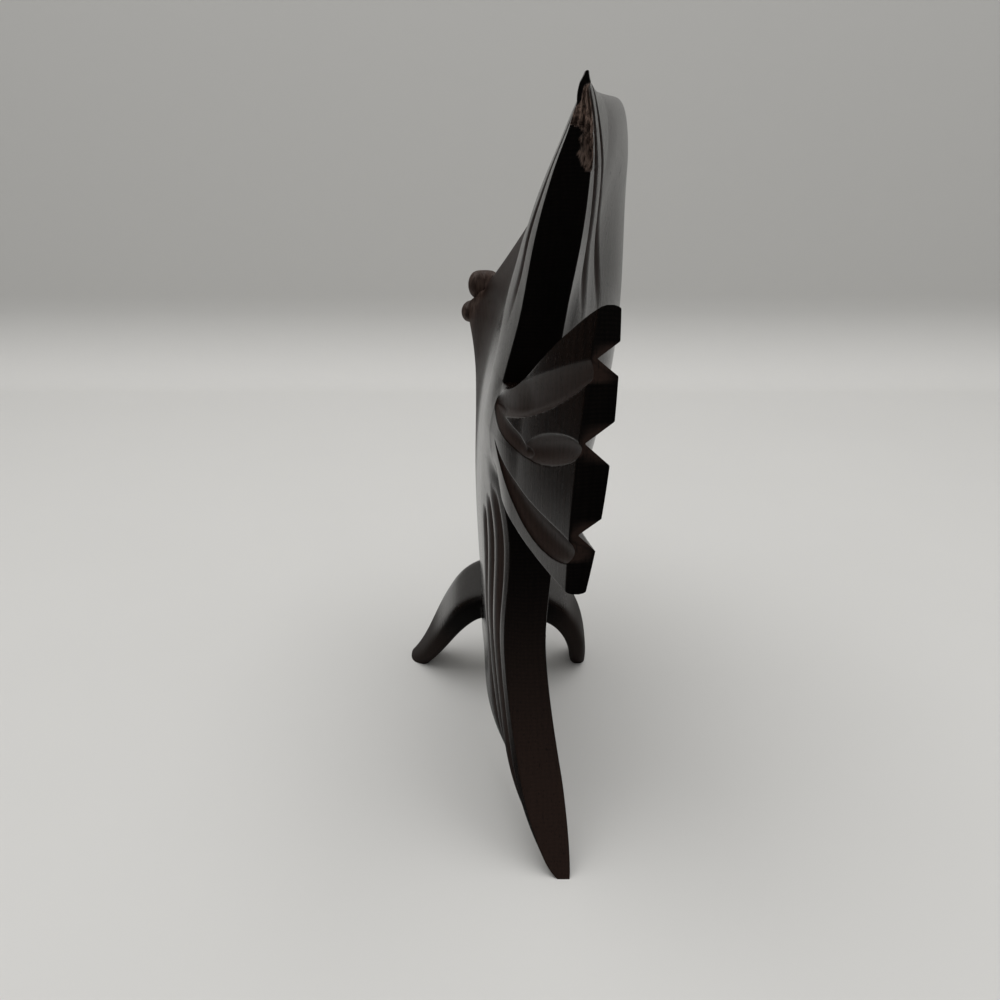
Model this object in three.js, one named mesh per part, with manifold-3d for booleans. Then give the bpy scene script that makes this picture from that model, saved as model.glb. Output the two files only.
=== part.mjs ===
// A carved hardwood angelfish that stands on its two pelvic fins and on the tip of its anal fin.
// Millimetres, +Z up. The mouth points along +Y and the fish's own right side faces +X.
// The side view is drawn in Y and Z. Every point of it is then carried to and fro along X by one
// swaying middle surface, and given a thickness there, so all the boards of the fish run flush.

import * as THREE from "three";
import { mergeVertices } from "three/addons/utils/BufferGeometryUtils.js";
import Module from "manifold-3d";

const wasm = await Module();
wasm.setup();
const { clamp, degToRad, lerp, smoothstep } = THREE.MathUtils;

// Side view: reaches are measured forward from the root of the tail, levels up from the table
const tailRootLevel = 104; // middle of the tail's root
const tailRootDepth = 24; // the tail's root from top to bottom
const crestReach = 62; // highest point of the back
const crestLevel = 181.5;
const crestTurn = 24; // how far the back runs level on each side of the crest
const mouthReach = 134; // middle of the snout's flat end, behind the lips
const mouthLevel = 115;
const mouthDepth = 9; // snout from top to bottom
const jawJut = 3.5; // the lower jaw ends ahead of the mouth's middle, and the upper jaw behind it
const browRun = 10; // straight start of the forehead, measured back from the snout
const browRise = 15;
const throatRun = 20; // straight start of the throat, measured back from the snout
const throatDrop = 22;
const bellyReach = 56; // lowest point of the body
const bellyLevel = 11;
const bellyTurn = 26; // how far the belly runs level on each side of its lowest point

// Fins, as they lie behind the tail's root
const dorsalSweep = 32; // tip of the dorsal fin behind the tail's root
const dorsalLevel = 183.5;
const dorsalTipRun = 27; // the top edge sags a little ahead of the tip
const dorsalTipSag = 4;
const dorsalHollow = 4; // hollow of the trailing edge
const dorsalRootHollow = 9; // hollow of the line where the fin meets the body
const analSweep = 38.6;
const analTipRun = 25; // the bottom edge rises clear of the table ahead of the tip
const analTipRise = 17;
const analHollow = 3;
const analRootHollow = 10;
const tailLength = 41;
const tailEndLevel = 110; // middle of the tail's end
const tailSpread = 62; // the tail's end from top to bottom
const tailEndBulge = 3;
const tailTopRun = 13; // the top edge sags ahead of its corner
const tailTopSag = 9;
const tailNeckRun = 18; // and leaves the root nearly level
const tailNeckSag = 1.5;
const tailBottomBulge = 1.5;

// Sway of the middle surface along X
const rootSway = 5.5;
const tailCurl = 12.9; // the tail's end swings to the right of the root
const tailCurlPower = 1.3; // 1 for a straight swing, more for one that tightens towards the end
const tailCurlStart = 0.45; // share of the tail's length over which it leaves the body's own sway
const tailLean = 0.085; // sideways lean of the tail's end for each millimetre of height
const analCurl = 10; // the anal fin's tip swings the same way
const analRipple = 2.6; // under its root the fin bulges to the right
const analRippleReturn = 0.25; // and by this share of it back to the left below that
const analRippleLevel = 78;
const analRippleHeight = 30; // from that bulge down to the other, and the height of each
const analRippleReach = 30; // reach at which the ripple has died out
const flankReach = 50; // where the body bulges furthest to the right
const flankSway = 9.2; // how far that is from the root
const headTurn = 26; // the mouth swings back to the left
const upperLean = 0.152; // sideways lean above the tail's root for each millimetre of height
const upperLeanGrowth = 0.001; // more of it for each millimetre ahead of the root
const lowerLean = 0.18; // the same below the root, under the flank
const lowerLeanStart = -15; // reach behind which nothing leans below the root
const leanBlend = 30; // from the root, up and down, where the one lean passes into the other

// Thickness
const finThickness = 10.4; // of the flat trailing edges
const dorsalLeftBevel = 6.5; // how much thicker each face grows ahead of its trailing edge
const dorsalRightBevel = 3;
const analLeftBevel = 1.8;
const analTipBevel = 2.3; // the same, near the anal fin's tip
const analTipBevelLevel = 22; // levels between which one gives way to the other
const analBevelLevel = 52;
const dorsalLeftRun = 30; // distance from the trailing edge at which a bevel is complete
const dorsalRightRun = 12;
const analLeftRun = 8;
const bevelReach = 70; // reach at which the bevels have died out in the body's own thickness
const neckBevelShare = 0.45; // of the dorsal fin's left bevel, at the tail's root
const neckLevel = 112; // levels between which that bevel grows to its whole size
const fullBevelLevel = 138;
const thinnedLevel = 146; // and between which it dies out again towards the tip
const noBevelLevel = 174;
const rightBevelTaper = 90; // length over which the right one dies out towards the tip
const bodyThickness = 34;
const swellReach = 58; // the thickest place of the body
const swellLevel = 97;
const swellLength = 72; // from there to where the fins' own thickness is reached
const swellHeight = 86;
const edgeRounding = 18; // width of the rounded band along the leading edges
const dorsalTipThickness = 1.2;
const dorsalTaper = 45; // length over which the dorsal fin thins out to its tip
const tailEndThickness = 6.9; // in the middle of the tail's end
const tailCornerThickness = 4.3; // at its top and bottom

// Flutes of the tail, from its bottom to its top, as shares of the tail's depth
const fluteStarts = [0.38, 0.6, 0.79];
const fluteEnds = [0.235, 0.56, 0.835];
const leftFluteWidth = 12; // at the tail's end
const leftFluteDepth = 1.3;
const rightFluteWidth = 7.5;
const rightFluteDepth = 4.2;

// Lips
const lipWidth = 12.5;
const upperLipLength = 13;
const upperLipDepth = 10;
const lowerLipLength = 15;
const lowerLipDepth = 8;
const mouthGap = 1.4; // the mouth's slit between the lips
const lowerLipShift = 2.4; // to the right of the upper lip

// The left cheek is carved thinner beside the lower lip
const cheekShare = 0.4; // share of the left half's thickness that is taken off
const cheekReach = 96; // where it starts, and where it is complete
const cheekFullReach = 122;
const cheekLevel = 84;
const cheekFullLevel = 104;
const cheekTopLevel = 116; // where it starts to die out again, and where it is gone
const cheekEndLevel = 124;

// Eyes, seated in round sockets
const eyeReach = 86;
const eyeLevel = 140;
const eyeDiameter = 7.5;
const eyeDome = 1; // how far an eye stands out of its socket
const eyeSeat = 3.2; // depth of the socket

// Pelvic fins: two bent legs that share one pin through the belly
const pelvicReach = 65;
const pelvicLevel = 32;
const pelvicRake = 13; // foot ahead of the leg's root
const pelvicAnkleLevel = 10;
const leftFootSpan = 31; // foot from the body's middle surface
const leftKneeSpan = 17.6; // how far the leg runs outward before it turns down
const leftAnkleSpan = 18.8; // where it turns out again to the foot
const rightFootSpan = 26.2;
const rightKneeSpan = 24.5;
const rightAnkleSpan = 25.6;
const pelvicRootChord = 26;
const pelvicFootChord = 11;
const pelvicRootThickness = 9.5;
const pelvicFootThickness = 5;
const pelvicChordPower = 1.5; // 1 for an even taper, more for one that stays wide near the root
const pelvicRootSquareness = 7; // of the section: 2 for an ellipse, more for squarer shoulders
const pelvicFootSquareness = 2.4;
const pelvicPitch = degToRad(8); // front edge up at the root, level at the foot
const legSwayShare = 0.4; // share of a leg's length over which it leaves the body's own sway

// Joints
const glueLine = 0.3;
const dowelDiameter = 6;
const dowelLength = 22;
const dowelPlaces = [0.34, 0.66]; // along the root of the dorsal and the anal fin
const tailDowelDiameter = 4.4;
const tailDowelLength = 24;
const pelvicPinDiameter = 4;
const pelvicPinSeat = 4.5; // depth of the pin in each leg
const pelvicPinDrop = 2.2; // the pin lies lower than the legs' roots, because the legs bend down
const footWear = 2.6; // depth worn flat off each foot by the table

// Finishes
const darkWood = 0x2b1e17;
const dowelWood = 0x8a6a48;
const eyeWood = 0x0b0908;
const polished = 0.3; // roughness
const raw = 0.7;
const glossy = 0.15;

// Fineness of the meshes
const bodyColumns = 32;
const bodyRows = 16;
const finColumns = 16;
const finRows = 12;
const tailColumns = 12;
const tailRows = 30;
const legRings = 11;
const legSides = 16;
const dowelSides = 16;
const outlineSteps = 80;
const lipSides = 14;
const lipRings = 10;
const eyeRings = 4;
const hair = 0.05; // lines closer than this count as one
const weld = 1e-4; // and points closer than this

// Points and lines of the side view, where a Vector2 holds reach and level
const at = (reach, level) => new THREE.Vector2(reach, level);
const rootTop = at(0, tailRootLevel + tailRootDepth / 2);
const rootBottom = at(0, tailRootLevel - tailRootDepth / 2);
const crest = at(crestReach, crestLevel);
const belly = at(bellyReach, bellyLevel);
const snoutTop = at(mouthReach - jawJut, mouthLevel + mouthDepth / 2);
const snoutBottom = at(mouthReach + jawJut, mouthLevel - mouthDepth / 2);
const dorsalTip = at(-dorsalSweep, dorsalLevel);
const analTip = at(-analSweep, -footWear);
const tailTop = at(-tailLength, tailEndLevel + tailSpread / 2);
const tailBottom = at(-tailLength, tailEndLevel - tailSpread / 2);

// A line from a to b that bows to the left of its own direction
function bowed(a, b, bow) {
  const along = b.clone().sub(a).normalize();
  const middle = a.clone().add(b).multiplyScalar(0.5);
  middle.add(at(-along.y, along.x).multiplyScalar(2 * bow));
  return new THREE.QuadraticBezierCurve(a, middle, b);
}

const offset = (point, reach, level) => point.clone().add(at(reach, level));
const topEdge = new THREE.CubicBezierCurve(
  dorsalTip,
  offset(dorsalTip, dorsalTipRun, -dorsalTipSag),
  offset(crest, -crestTurn, 0),
  crest,
);
const forehead = new THREE.CubicBezierCurve(
  crest,
  offset(crest, crestTurn, 0),
  offset(snoutTop, -browRun, browRise),
  snoutTop,
);
const throat = new THREE.CubicBezierCurve(
  belly,
  offset(belly, bellyTurn, 0),
  offset(snoutBottom, -throatRun, -throatDrop),
  snoutBottom,
);
const bottomEdge = new THREE.CubicBezierCurve(
  analTip,
  offset(analTip, analTipRun, analTipRise),
  offset(belly, -bellyTurn, 0),
  belly,
);
const dorsalRoot = bowed(rootTop, crest, -dorsalRootHollow);
const analRoot = bowed(rootBottom, belly, analRootHollow);
const dorsalTrailing = bowed(rootTop, dorsalTip, -dorsalHollow);
const analTrailing = bowed(rootBottom, analTip, analHollow);
const drawn = (lines) => lines.map((line) => line.getPoints(outlineSteps));
const outline = drawn([topEdge, forehead, throat, bottomEdge]);
const trailing = drawn([dorsalTrailing, analTrailing]);

// Distance from a place in the side view to the nearest of some lines
function distanceTo(lines, place) {
  let least = Infinity;
  for (const points of lines) {
    for (let i = 1; i < points.length; i++) {
      const step = points[i].clone().sub(points[i - 1]);
      const share = place.clone().sub(points[i - 1]).dot(step) / step.lengthSq();
      const nearest = points[i - 1].clone().addScaledVector(step, clamp(share, 0, 1));
      least = Math.min(least, nearest.distanceTo(place));
    }
  }
  return least;
}

// How far a level belongs to the upper half of the fish, from 0 to 1
const above = (level) => smoothstep(level, tailRootLevel - leanBlend, tailRootLevel + leanBlend);

// Ripple of the anal fin: a bulge to the right, and a lesser one to the left under it
function ripple(reach, level) {
  const bulge = (middle) => {
    const away = Math.min(1, Math.abs(level - middle) / analRippleHeight);
    return Math.cos((Math.PI / 2) * away) ** 2;
  };
  const back = analRippleReturn * bulge(analRippleLevel - analRippleHeight);
  const both = bulge(analRippleLevel) - back;
  return analRipple * both * (1 - smoothstep(reach, 0, analRippleReach));
}

// Middle surface: X for a place in the side view
function middleX(reach, level) {
  const below = lowerLean * smoothstep(reach, lowerLeanStart, bellyReach);
  const lean = lerp(below, upperLean + upperLeanGrowth * Math.max(0, reach), above(level));
  const sunk = Math.max(0, 1 - level / tailRootLevel);
  const swept = Math.max(0, (bellyReach - reach) / (bellyReach + analSweep));
  const start = lerp(0, dorsalTip.x, clamp((level - rootTop.y) / (dorsalTip.y - rootTop.y), 0, 1));
  const bulge = flankSway * smoothstep(reach, start, flankReach);
  const turn = headTurn * (Math.max(0, reach - flankReach) / (mouthReach - flankReach)) ** 2;
  const curl = analCurl * (sunk * swept) ** 2;
  return rootSway + bulge - turn + lean * (level - tailRootLevel) + curl + ripple(reach, level);
}

// From the middle surface to each face: less along the trailing edges, and nothing on the outline
function halves(reach, level) {
  const place = at(reach, level);
  const distance = distanceTo(outline, place);
  if (distance < hair) return { left: 0, right: 0 };
  const rounding = Math.sqrt(1 - (1 - Math.min(distance / edgeRounding, 1)) ** 2);
  const far = ((reach - swellReach) / swellLength) ** 2 + ((level - swellLevel) / swellHeight) ** 2;
  const swell = (bodyThickness - finThickness) * Math.max(0, 1 - far) ** 2;
  const fromTip = dorsalTip.distanceTo(place);
  const edge = lerp(dorsalTipThickness, finThickness, risen(fromTip, dorsalTaper));
  const half = (edge + swell) / 2;
  const behind = distanceTo(trailing, place);
  const fade = 1 - smoothstep(reach, 0, bevelReach);
  const grown = lerp(neckBevelShare, 1, smoothstep(level, neckLevel, fullBevelLevel));
  const kept = 1 - smoothstep(level, thinnedLevel, noBevelLevel);
  const dorsalLeft = dorsalLeftBevel * grown * kept * leaning(behind, dorsalLeftRun);
  const higher = smoothstep(level, analTipBevelLevel, analBevelLevel);
  const analLeft = lerp(analTipBevel, analLeftBevel, higher) * risen(behind, analLeftRun);
  const leftBevel = fade * lerp(analLeft, dorsalLeft, above(level));
  const tapered = risen(fromTip, rightBevelTaper);
  const rightBevel = fade * dorsalRightBevel * above(level) * tapered * risen(behind, dorsalRightRun);
  const rising = smoothstep(level, cheekLevel, cheekFullLevel);
  const beside = smoothstep(reach, cheekReach, cheekFullReach) * rising;
  const cheek = 1 - cheekShare * beside * (1 - smoothstep(level, cheekTopLevel, cheekEndLevel));
  return { left: (half + leftBevel) * rounding * cheek, right: (half + rightBevel) * rounding };
}

// A quarter wave that rises from 0 to 1 over a run, and stays there
function risen(distance, run) {
  return Math.sin((Math.PI / 2) * Math.min(1, distance / run));
}

// Rises evenly from 0, and eases to 1 at the end of a run
function leaning(distance, run) {
  const share = Math.min(1, distance / run);
  return (5 * share - share ** 5) / 4;
}

// A four-sided patch of the side view between a bottom, a top, a rear and a front line
function patch(bottom, top, rear, front) {
  return (u, v) => {
    const across = bottom(u).clone().lerp(top(u), v);
    const along = rear(v).clone().lerp(front(v), u);
    const low = bottom(0).clone().lerp(bottom(1), u);
    const high = top(0).clone().lerp(top(1), u);
    return across.add(along).sub(low.lerp(high, v));
  };
}

// A closed mesh from vertices and triangles: shared vertices are merged, empty triangles dropped,
// and all faces turned over together if they would point inwards
function closedGeometry(points, triangles) {
  const loose = new THREE.BufferGeometry().setFromPoints(points).setIndex(triangles);
  const merged = mergeVertices(loose, weld);
  const index = merged.getIndex().array;
  const corner = (i) => new THREE.Vector3().fromBufferAttribute(merged.getAttribute("position"), i);
  const kept = [];
  let volume = 0;
  for (let i = 0; i < index.length; i += 3) {
    const [a, b, c] = index.subarray(i, i + 3);
    if (a === b || b === c || c === a) continue;
    kept.push(a, b, c);
    volume += corner(a).dot(corner(b).cross(corner(c)));
  }
  return merged.setIndex(volume < 0 ? kept.reverse() : kept);
}

// A plate over a patch, with a left face, a right face and walls where they stand apart.
// place(u, v) gives reach and level, faces(u, v, reach, level) gives X on the left and the right.
function plate(place, faces, columns, rows) {
  const points = [];
  const left = (i, j) => 2 * (i * (rows + 1) + j);
  const right = (i, j) => left(i, j) + 1;
  for (let i = 0; i <= columns; i++) {
    for (let j = 0; j <= rows; j++) {
      const { x: reach, y: level } = place(i / columns, j / rows);
      const [leftX, rightX] = faces(i / columns, j / rows, reach, level);
      points.push(new THREE.Vector3(leftX, reach, level), new THREE.Vector3(rightX, reach, level));
    }
  }
  const triangles = [];
  const quad = (a, b, c, d) => triangles.push(a, b, c, a, c, d);
  for (let i = 0; i < columns; i++) {
    for (let j = 0; j < rows; j++) {
      quad(left(i, j), left(i, j + 1), left(i + 1, j + 1), left(i + 1, j));
      quad(right(i, j), right(i + 1, j), right(i + 1, j + 1), right(i, j + 1));
    }
  }
  for (let i = 0; i < columns; i++) {
    quad(left(i, 0), left(i + 1, 0), right(i + 1, 0), right(i, 0));
    quad(left(i, rows), right(i, rows), right(i + 1, rows), left(i + 1, rows));
  }
  for (let j = 0; j < rows; j++) {
    quad(left(0, j), right(0, j), right(0, j + 1), left(0, j + 1));
    quad(left(columns, j), left(columns, j + 1), right(columns, j + 1), right(columns, j));
  }
  return closedGeometry(points, triangles);
}

// Both faces of a plate that follows the middle surface, grown by a little where a cut needs room
const flush = (grow) => (u, v, reach, level) => {
  const { left, right } = halves(reach, level);
  const middle = middleX(reach, level);
  return [middle - left - grow, middle + right + grow];
};

// Solids for cuts and joins
function solid(geometry) {
  const bare = geometry.clone();
  bare.deleteAttribute("normal");
  bare.deleteAttribute("uv");
  const merged = mergeVertices(bare, weld);
  const vertProperties = new Float32Array(merged.getAttribute("position").array);
  const triVerts = new Uint32Array(merged.getIndex().array);
  return new wasm.Manifold(new wasm.Mesh({ numProp: 3, vertProperties, triVerts }));
}

function geometryOf(shape) {
  const { vertProperties, triVerts } = shape.getMesh();
  const geometry = new THREE.BufferGeometry();
  geometry.setAttribute("position", new THREE.BufferAttribute(vertProperties, 3));
  geometry.setIndex(new THREE.BufferAttribute(triVerts, 1));
  geometry.computeVertexNormals();
  return geometry;
}

// A pin is a place, a direction, a diameter and a length: the dowel and its bore both come from it
const pinAxis = new THREE.Vector3(0, 1, 0);
function pinTurn(pin) {
  return new THREE.Quaternion().setFromUnitVectors(pinAxis, pin.direction);
}
function pinGeometry(pin, clearance) {
  const radius = pin.diameter / 2 + clearance;
  return new THREE.CylinderGeometry(radius, radius, pin.length + 2 * clearance, dowelSides);
}
function bore(pin) {
  const geometry = pinGeometry(pin, glueLine);
  geometry.applyQuaternion(pinTurn(pin)).translate(pin.place.x, pin.place.y, pin.place.z);
  return solid(geometry);
}

// A pin square to a fin's root line, in the middle surface
function rootPin(line, share) {
  const place = line.getPoint(share);
  const along = line.getTangent(share);
  const reach = dowelLength / 2;
  const ends = [-reach, reach].map((step) => at(place.x - along.y * step, place.y + along.x * step));
  const [start, end] = ends.map((end) => new THREE.Vector3(middleX(end.x, end.y), end.x, end.y));
  return {
    place: start.clone().add(end).multiplyScalar(0.5),
    direction: end.clone().sub(start).normalize(),
    diameter: dowelDiameter,
    length: dowelLength,
  };
}
const dorsalPins = dowelPlaces.map((share) => rootPin(dorsalRoot, share));
const analPins = dowelPlaces.map((share) => rootPin(analRoot, share));

function tailPinEnd(reach) {
  return new THREE.Vector3(middleX(reach, tailRootLevel), reach, tailRootLevel);
}
const tailPin = {
  place: tailPinEnd(-tailDowelLength / 2).add(tailPinEnd(tailDowelLength / 2)).multiplyScalar(0.5),
  direction: tailPinEnd(tailDowelLength / 2).sub(tailPinEnd(-tailDowelLength / 2)).normalize(),
  diameter: tailDowelDiameter,
  length: tailDowelLength,
};

const pelvicMiddle = middleX(pelvicReach, pelvicLevel);
const pelvicPinLevel = pelvicLevel - pelvicPinDrop;
const pelvicHalves = halves(pelvicReach, pelvicPinLevel);
const pelvicPinX = middleX(pelvicReach, pelvicPinLevel) + (pelvicHalves.right - pelvicHalves.left) / 2;
const pelvicPin = {
  place: new THREE.Vector3(pelvicPinX, pelvicReach, pelvicPinLevel),
  direction: new THREE.Vector3(1, 0, 0),
  diameter: pelvicPinDiameter,
  length: pelvicHalves.left + pelvicHalves.right + 2 * pelvicPinSeat,
};

// Body: from the tail's root to the snout, with its widest column from belly to crest
const bodyTop = (u) => (u < 0.5 ? dorsalRoot.getPoint(2 * u) : forehead.getPoint(2 * u - 1));
const bodyBottom = (u) => (u < 0.5 ? analRoot.getPoint(2 * u) : throat.getPoint(2 * u - 1));
const bodyPlace = (u, v) => {
  const eased = 0.5 - 0.5 * Math.cos(Math.PI * v); // rows crowd towards the rounded edges
  return bodyBottom(u).clone().lerp(bodyTop(u), eased);
};
const bodyPlate = (grow) => solid(plate(bodyPlace, flush(grow), bodyColumns, bodyRows));

function lip(reach, level, length, depth, shift) {
  const geometry = new THREE.SphereGeometry(0.5, lipSides, lipRings);
  geometry.scale(lipWidth, length, depth);
  return solid(geometry.translate(middleX(reach, level) + shift, reach, level));
}
const upperLipLevel = mouthLevel + (upperLipDepth + mouthGap) / 2;
const lowerLipLevel = mouthLevel - (lowerLipDepth + mouthGap) / 2;

// Eye sockets stand square to the flank
function eyeSeatOn(side) {
  const flank = (reach, level) => {
    const [leftX, rightX] = flush(0)(0, 0, reach, level);
    return new THREE.Vector3(side < 0 ? leftX : rightX, reach, level);
  };
  const place = flank(eyeReach, eyeLevel);
  const forward = flank(eyeReach + 1, eyeLevel).sub(flank(eyeReach - 1, eyeLevel));
  const upward = flank(eyeReach, eyeLevel + 1).sub(flank(eyeReach, eyeLevel - 1));
  const outward = forward.cross(upward).multiplyScalar(side).normalize();
  return { place, turn: new THREE.Quaternion().setFromUnitVectors(pinAxis, outward) };
}
function eyeSocket(seat) {
  const radius = eyeDiameter / 2 + glueLine;
  const depth = eyeSeat + glueLine;
  const geometry = new THREE.CylinderGeometry(radius, radius, 2 * depth, dowelSides);
  return solid(geometry.applyQuaternion(seat.turn).translate(seat.place.x, seat.place.y, seat.place.z));
}
function eyeGeometry() {
  const radius = eyeDiameter / 2;
  const profile = [at(0, -eyeSeat), at(radius, -eyeSeat), at(radius, 0)];
  for (let i = 1; i <= eyeRings; i++) {
    const angle = (i / eyeRings) * (Math.PI / 2);
    profile.push(at(i < eyeRings ? radius * Math.cos(angle) : 0, eyeDome * Math.sin(angle)));
  }
  return new THREE.LatheGeometry(profile, dowelSides);
}
const eyeSeats = { left: eyeSeatOn(-1), right: eyeSeatOn(1) };

// A pelvic fin: a rounded section carried outward from the belly and down to the table
function pelvicLeg(side, kneeSpan, ankleSpan, footSpan) {
  const route = new THREE.CubicBezierCurve(
    at(0, pelvicLevel),
    at(kneeSpan, pelvicLevel),
    at(ankleSpan, pelvicAnkleLevel),
    at(footSpan, -footWear),
  );
  const points = [];
  for (let i = 0; i <= legRings; i++) {
    const share = i / legRings;
    const middle = route.getPoint(share);
    const along = route.getTangent(share);
    const pitch = pelvicPitch * (1 - share);
    const chord = lerp(pelvicRootChord, pelvicFootChord, share ** pelvicChordPower) / 2;
    const thick = lerp(pelvicRootThickness, pelvicFootThickness, share) / 2;
    const squareness = lerp(pelvicRootSquareness, pelvicFootSquareness, share);
    const shouldered = (wave) => Math.sign(wave) * Math.abs(wave) ** (2 / squareness);
    for (let k = 0; k < legSides; k++) {
      const angle = (2 * Math.PI * k) / legSides;
      const fore = chord * shouldered(Math.cos(angle));
      const up = thick * shouldered(Math.sin(angle));
      const forward = pelvicRake * share ** 2 + fore * Math.cos(pitch) - up * Math.sin(pitch);
      const lift = fore * Math.sin(pitch) + up * Math.cos(pitch);
      const out = middle.x - along.y * lift;
      const reach = pelvicReach + forward;
      const level = middle.y + along.x * lift;
      const inner = lerp(middleX(reach, level), pelvicMiddle, smoothstep(share, 0, legSwayShare));
      points.push(new THREE.Vector3(inner + side * out, reach, level));
    }
  }
  const ring = (i, k) => i * legSides + (k % legSides);
  const triangles = [];
  const face = (a, b, c) => triangles.push(a, b, c);
  for (let k = 0; k < legSides; k++) {
    for (let i = 0; i < legRings; i++) {
      face(ring(i, k), ring(i + 1, k), ring(i + 1, k + 1));
      face(ring(i, k), ring(i + 1, k + 1), ring(i, k + 1));
    }
  }
  for (let k = 1; k < legSides - 1; k++) {
    face(ring(0, 0), ring(0, k), ring(0, k + 1));
    face(ring(legRings, 0), ring(legRings, k + 1), ring(legRings, k));
  }
  return solid(closedGeometry(points, triangles));
}

// The table wears a flat on whatever would reach below it
const figureSpan = 2 * (crestLevel + mouthReach + analSweep);
const tableGeometry = new THREE.BoxGeometry(figureSpan, figureSpan, figureSpan);
const table = solid(tableGeometry.translate(0, 0, -figureSpan / 2));

// Dorsal and anal fins: triangles of the side view that end in the crest and in the belly
function aft(line, lift) {
  return (u) => offset(line.getPoint(u), -glueLine, (1 - u) * lift);
}
function finPlate(rootLine, lift, edge, hollow, grow) {
  const root = aft(rootLine, lift);
  const rim = (u) => offset(edge.getPoint(u), -glueLine * u, 0);
  const trailing = bowed(root(0), rim(0), hollow);
  const place = patch(root, rim, (v) => trailing.getPoint(v), () => root(1));
  const crowded = (u, v) => place(u, Math.sin((Math.PI / 2) * v)); // rows crowd towards the rim
  return solid(plate(crowded, flush(grow), finColumns, finRows));
}
const dorsalPlate = finPlate(dorsalRoot, glueLine / 2, topEdge, -dorsalHollow, 0);
const analPlate = (grow) => finPlate(analRoot, -glueLine / 2, bottomEdge, analHollow, grow);

// Tail: a fan that curls to the right, with flutes on both faces that deepen towards its end
function tailFaces(u, v, reach, level) {
  const curled = rootSway + tailCurl * u ** tailCurlPower + tailLean * (level - tailRootLevel);
  const middle = lerp(middleX(reach, level), curled, smoothstep(u, 0, tailCurlStart));
  const endThickness = lerp(tailEndThickness, tailCornerThickness, (2 * v - 1) ** 2);
  const root = halves(reach, level);
  const left = lerp(root.left, endThickness / 2, u);
  const right = lerp(root.right, endThickness / 2, u);
  const aways = fluteStarts.map((start, k) => Math.abs(v - lerp(start, fluteEnds[k], u)));
  const away = Math.min(...aways) * lerp(tailRootDepth, tailSpread, u);
  const flute = (width) => u * Math.sin((Math.PI / 2) * Math.max(0, 1 - (2 * away) / (width * u + hair)));
  const leftCut = leftFluteDepth * flute(leftFluteWidth);
  const rightCut = rightFluteDepth * flute(rightFluteWidth);
  return [middle - left + leftCut, middle + right - rightCut];
}
function tailPlate() {
  const front = offset(rootTop, -glueLine, -glueLine);
  const low = offset(rootBottom, -glueLine, glueLine);
  const top = new THREE.CubicBezierCurve(
    front,
    offset(front, -tailNeckRun, -tailNeckSag),
    offset(tailTop, tailTopRun, -tailTopSag),
    tailTop,
  );
  const bottom = bowed(low, tailBottom, tailBottomBulge);
  const end = bowed(tailBottom, tailTop, tailEndBulge);
  const place = patch(
    (u) => bottom.getPoint(u),
    (u) => top.getPoint(u),
    (v) => low.clone().lerp(front, v),
    (v) => end.getPoint(v),
  );
  return solid(plate(place, tailFaces, tailColumns, tailRows));
}

// Cut and joined solids
const drilled = (shape, pins) => pins.reduce((rest, pin) => rest.subtract(bore(pin)), shape);
const body = drilled(
  bodyPlate(0)
    .add(lip(mouthReach - jawJut / 2, upperLipLevel, upperLipLength, upperLipDepth, 0))
    .add(lip(mouthReach + jawJut / 2, lowerLipLevel, lowerLipLength, lowerLipDepth, lowerLipShift))
    .subtract(eyeSocket(eyeSeats.left))
    .subtract(eyeSocket(eyeSeats.right)),
  [...dorsalPins, ...analPins, tailPin, pelvicPin],
);
const dorsalFin = drilled(dorsalPlate, dorsalPins);
const analFin = drilled(analPlate(0).subtract(table), analPins);
const tailFin = drilled(tailPlate(), [tailPin]);
const legRoom = bodyPlate(glueLine).add(analPlate(glueLine));
const pelvicFin = (leg) => drilled(leg.subtract(legRoom).subtract(table), [pelvicPin]);
const leftLeg = pelvicLeg(-1, leftKneeSpan, leftAnkleSpan, leftFootSpan);
const rightLeg = pelvicLeg(1, rightKneeSpan, rightAnkleSpan, rightFootSpan);

// The assembled figure
const fish = new THREE.Group();

function addPiece(name, geometry, colour, roughness) {
  const material = new THREE.MeshStandardMaterial({ color: colour, roughness, metalness: 0 });
  const mesh = new THREE.Mesh(geometry, material);
  mesh.name = name;
  fish.add(mesh);
  return mesh;
}
function addPin(name, pin) {
  const mesh = addPiece(name, pinGeometry(pin, 0), dowelWood, raw);
  mesh.position.copy(pin.place);
  mesh.quaternion.copy(pinTurn(pin));
}
function addEye(name, seat) {
  const mesh = addPiece(name, eyeGeometry(), eyeWood, glossy);
  mesh.position.copy(seat.place);
  mesh.quaternion.copy(seat.turn);
}

addPiece("body", geometryOf(body), darkWood, polished);
addPiece("dorsal_fin", geometryOf(dorsalFin), darkWood, polished);
addPiece("anal_fin", geometryOf(analFin), darkWood, polished);
addPiece("tail_fin", geometryOf(tailFin), darkWood, polished);
addPiece("left_pelvic_fin", geometryOf(pelvicFin(leftLeg)), darkWood, polished);
addPiece("right_pelvic_fin", geometryOf(pelvicFin(rightLeg)), darkWood, polished);
addEye("left_eye", eyeSeats.left);
addEye("right_eye", eyeSeats.right);
addPin("dorsal_dowel_rear", dorsalPins[0]);
addPin("dorsal_dowel_front", dorsalPins[1]);
addPin("anal_dowel_rear", analPins[0]);
addPin("anal_dowel_front", analPins[1]);
addPin("tail_dowel", tailPin);
addPin("pelvic_pin", pelvicPin);

// The origin is under the middle of the figure, on the table
const box = new THREE.Box3().setFromObject(fish);
const centre = box.getCenter(new THREE.Vector3());
fish.position.set(-centre.x, -centre.y, -box.min.z);

const figurine = new THREE.Group();
figurine.add(fish);
export default figurine;
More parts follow.
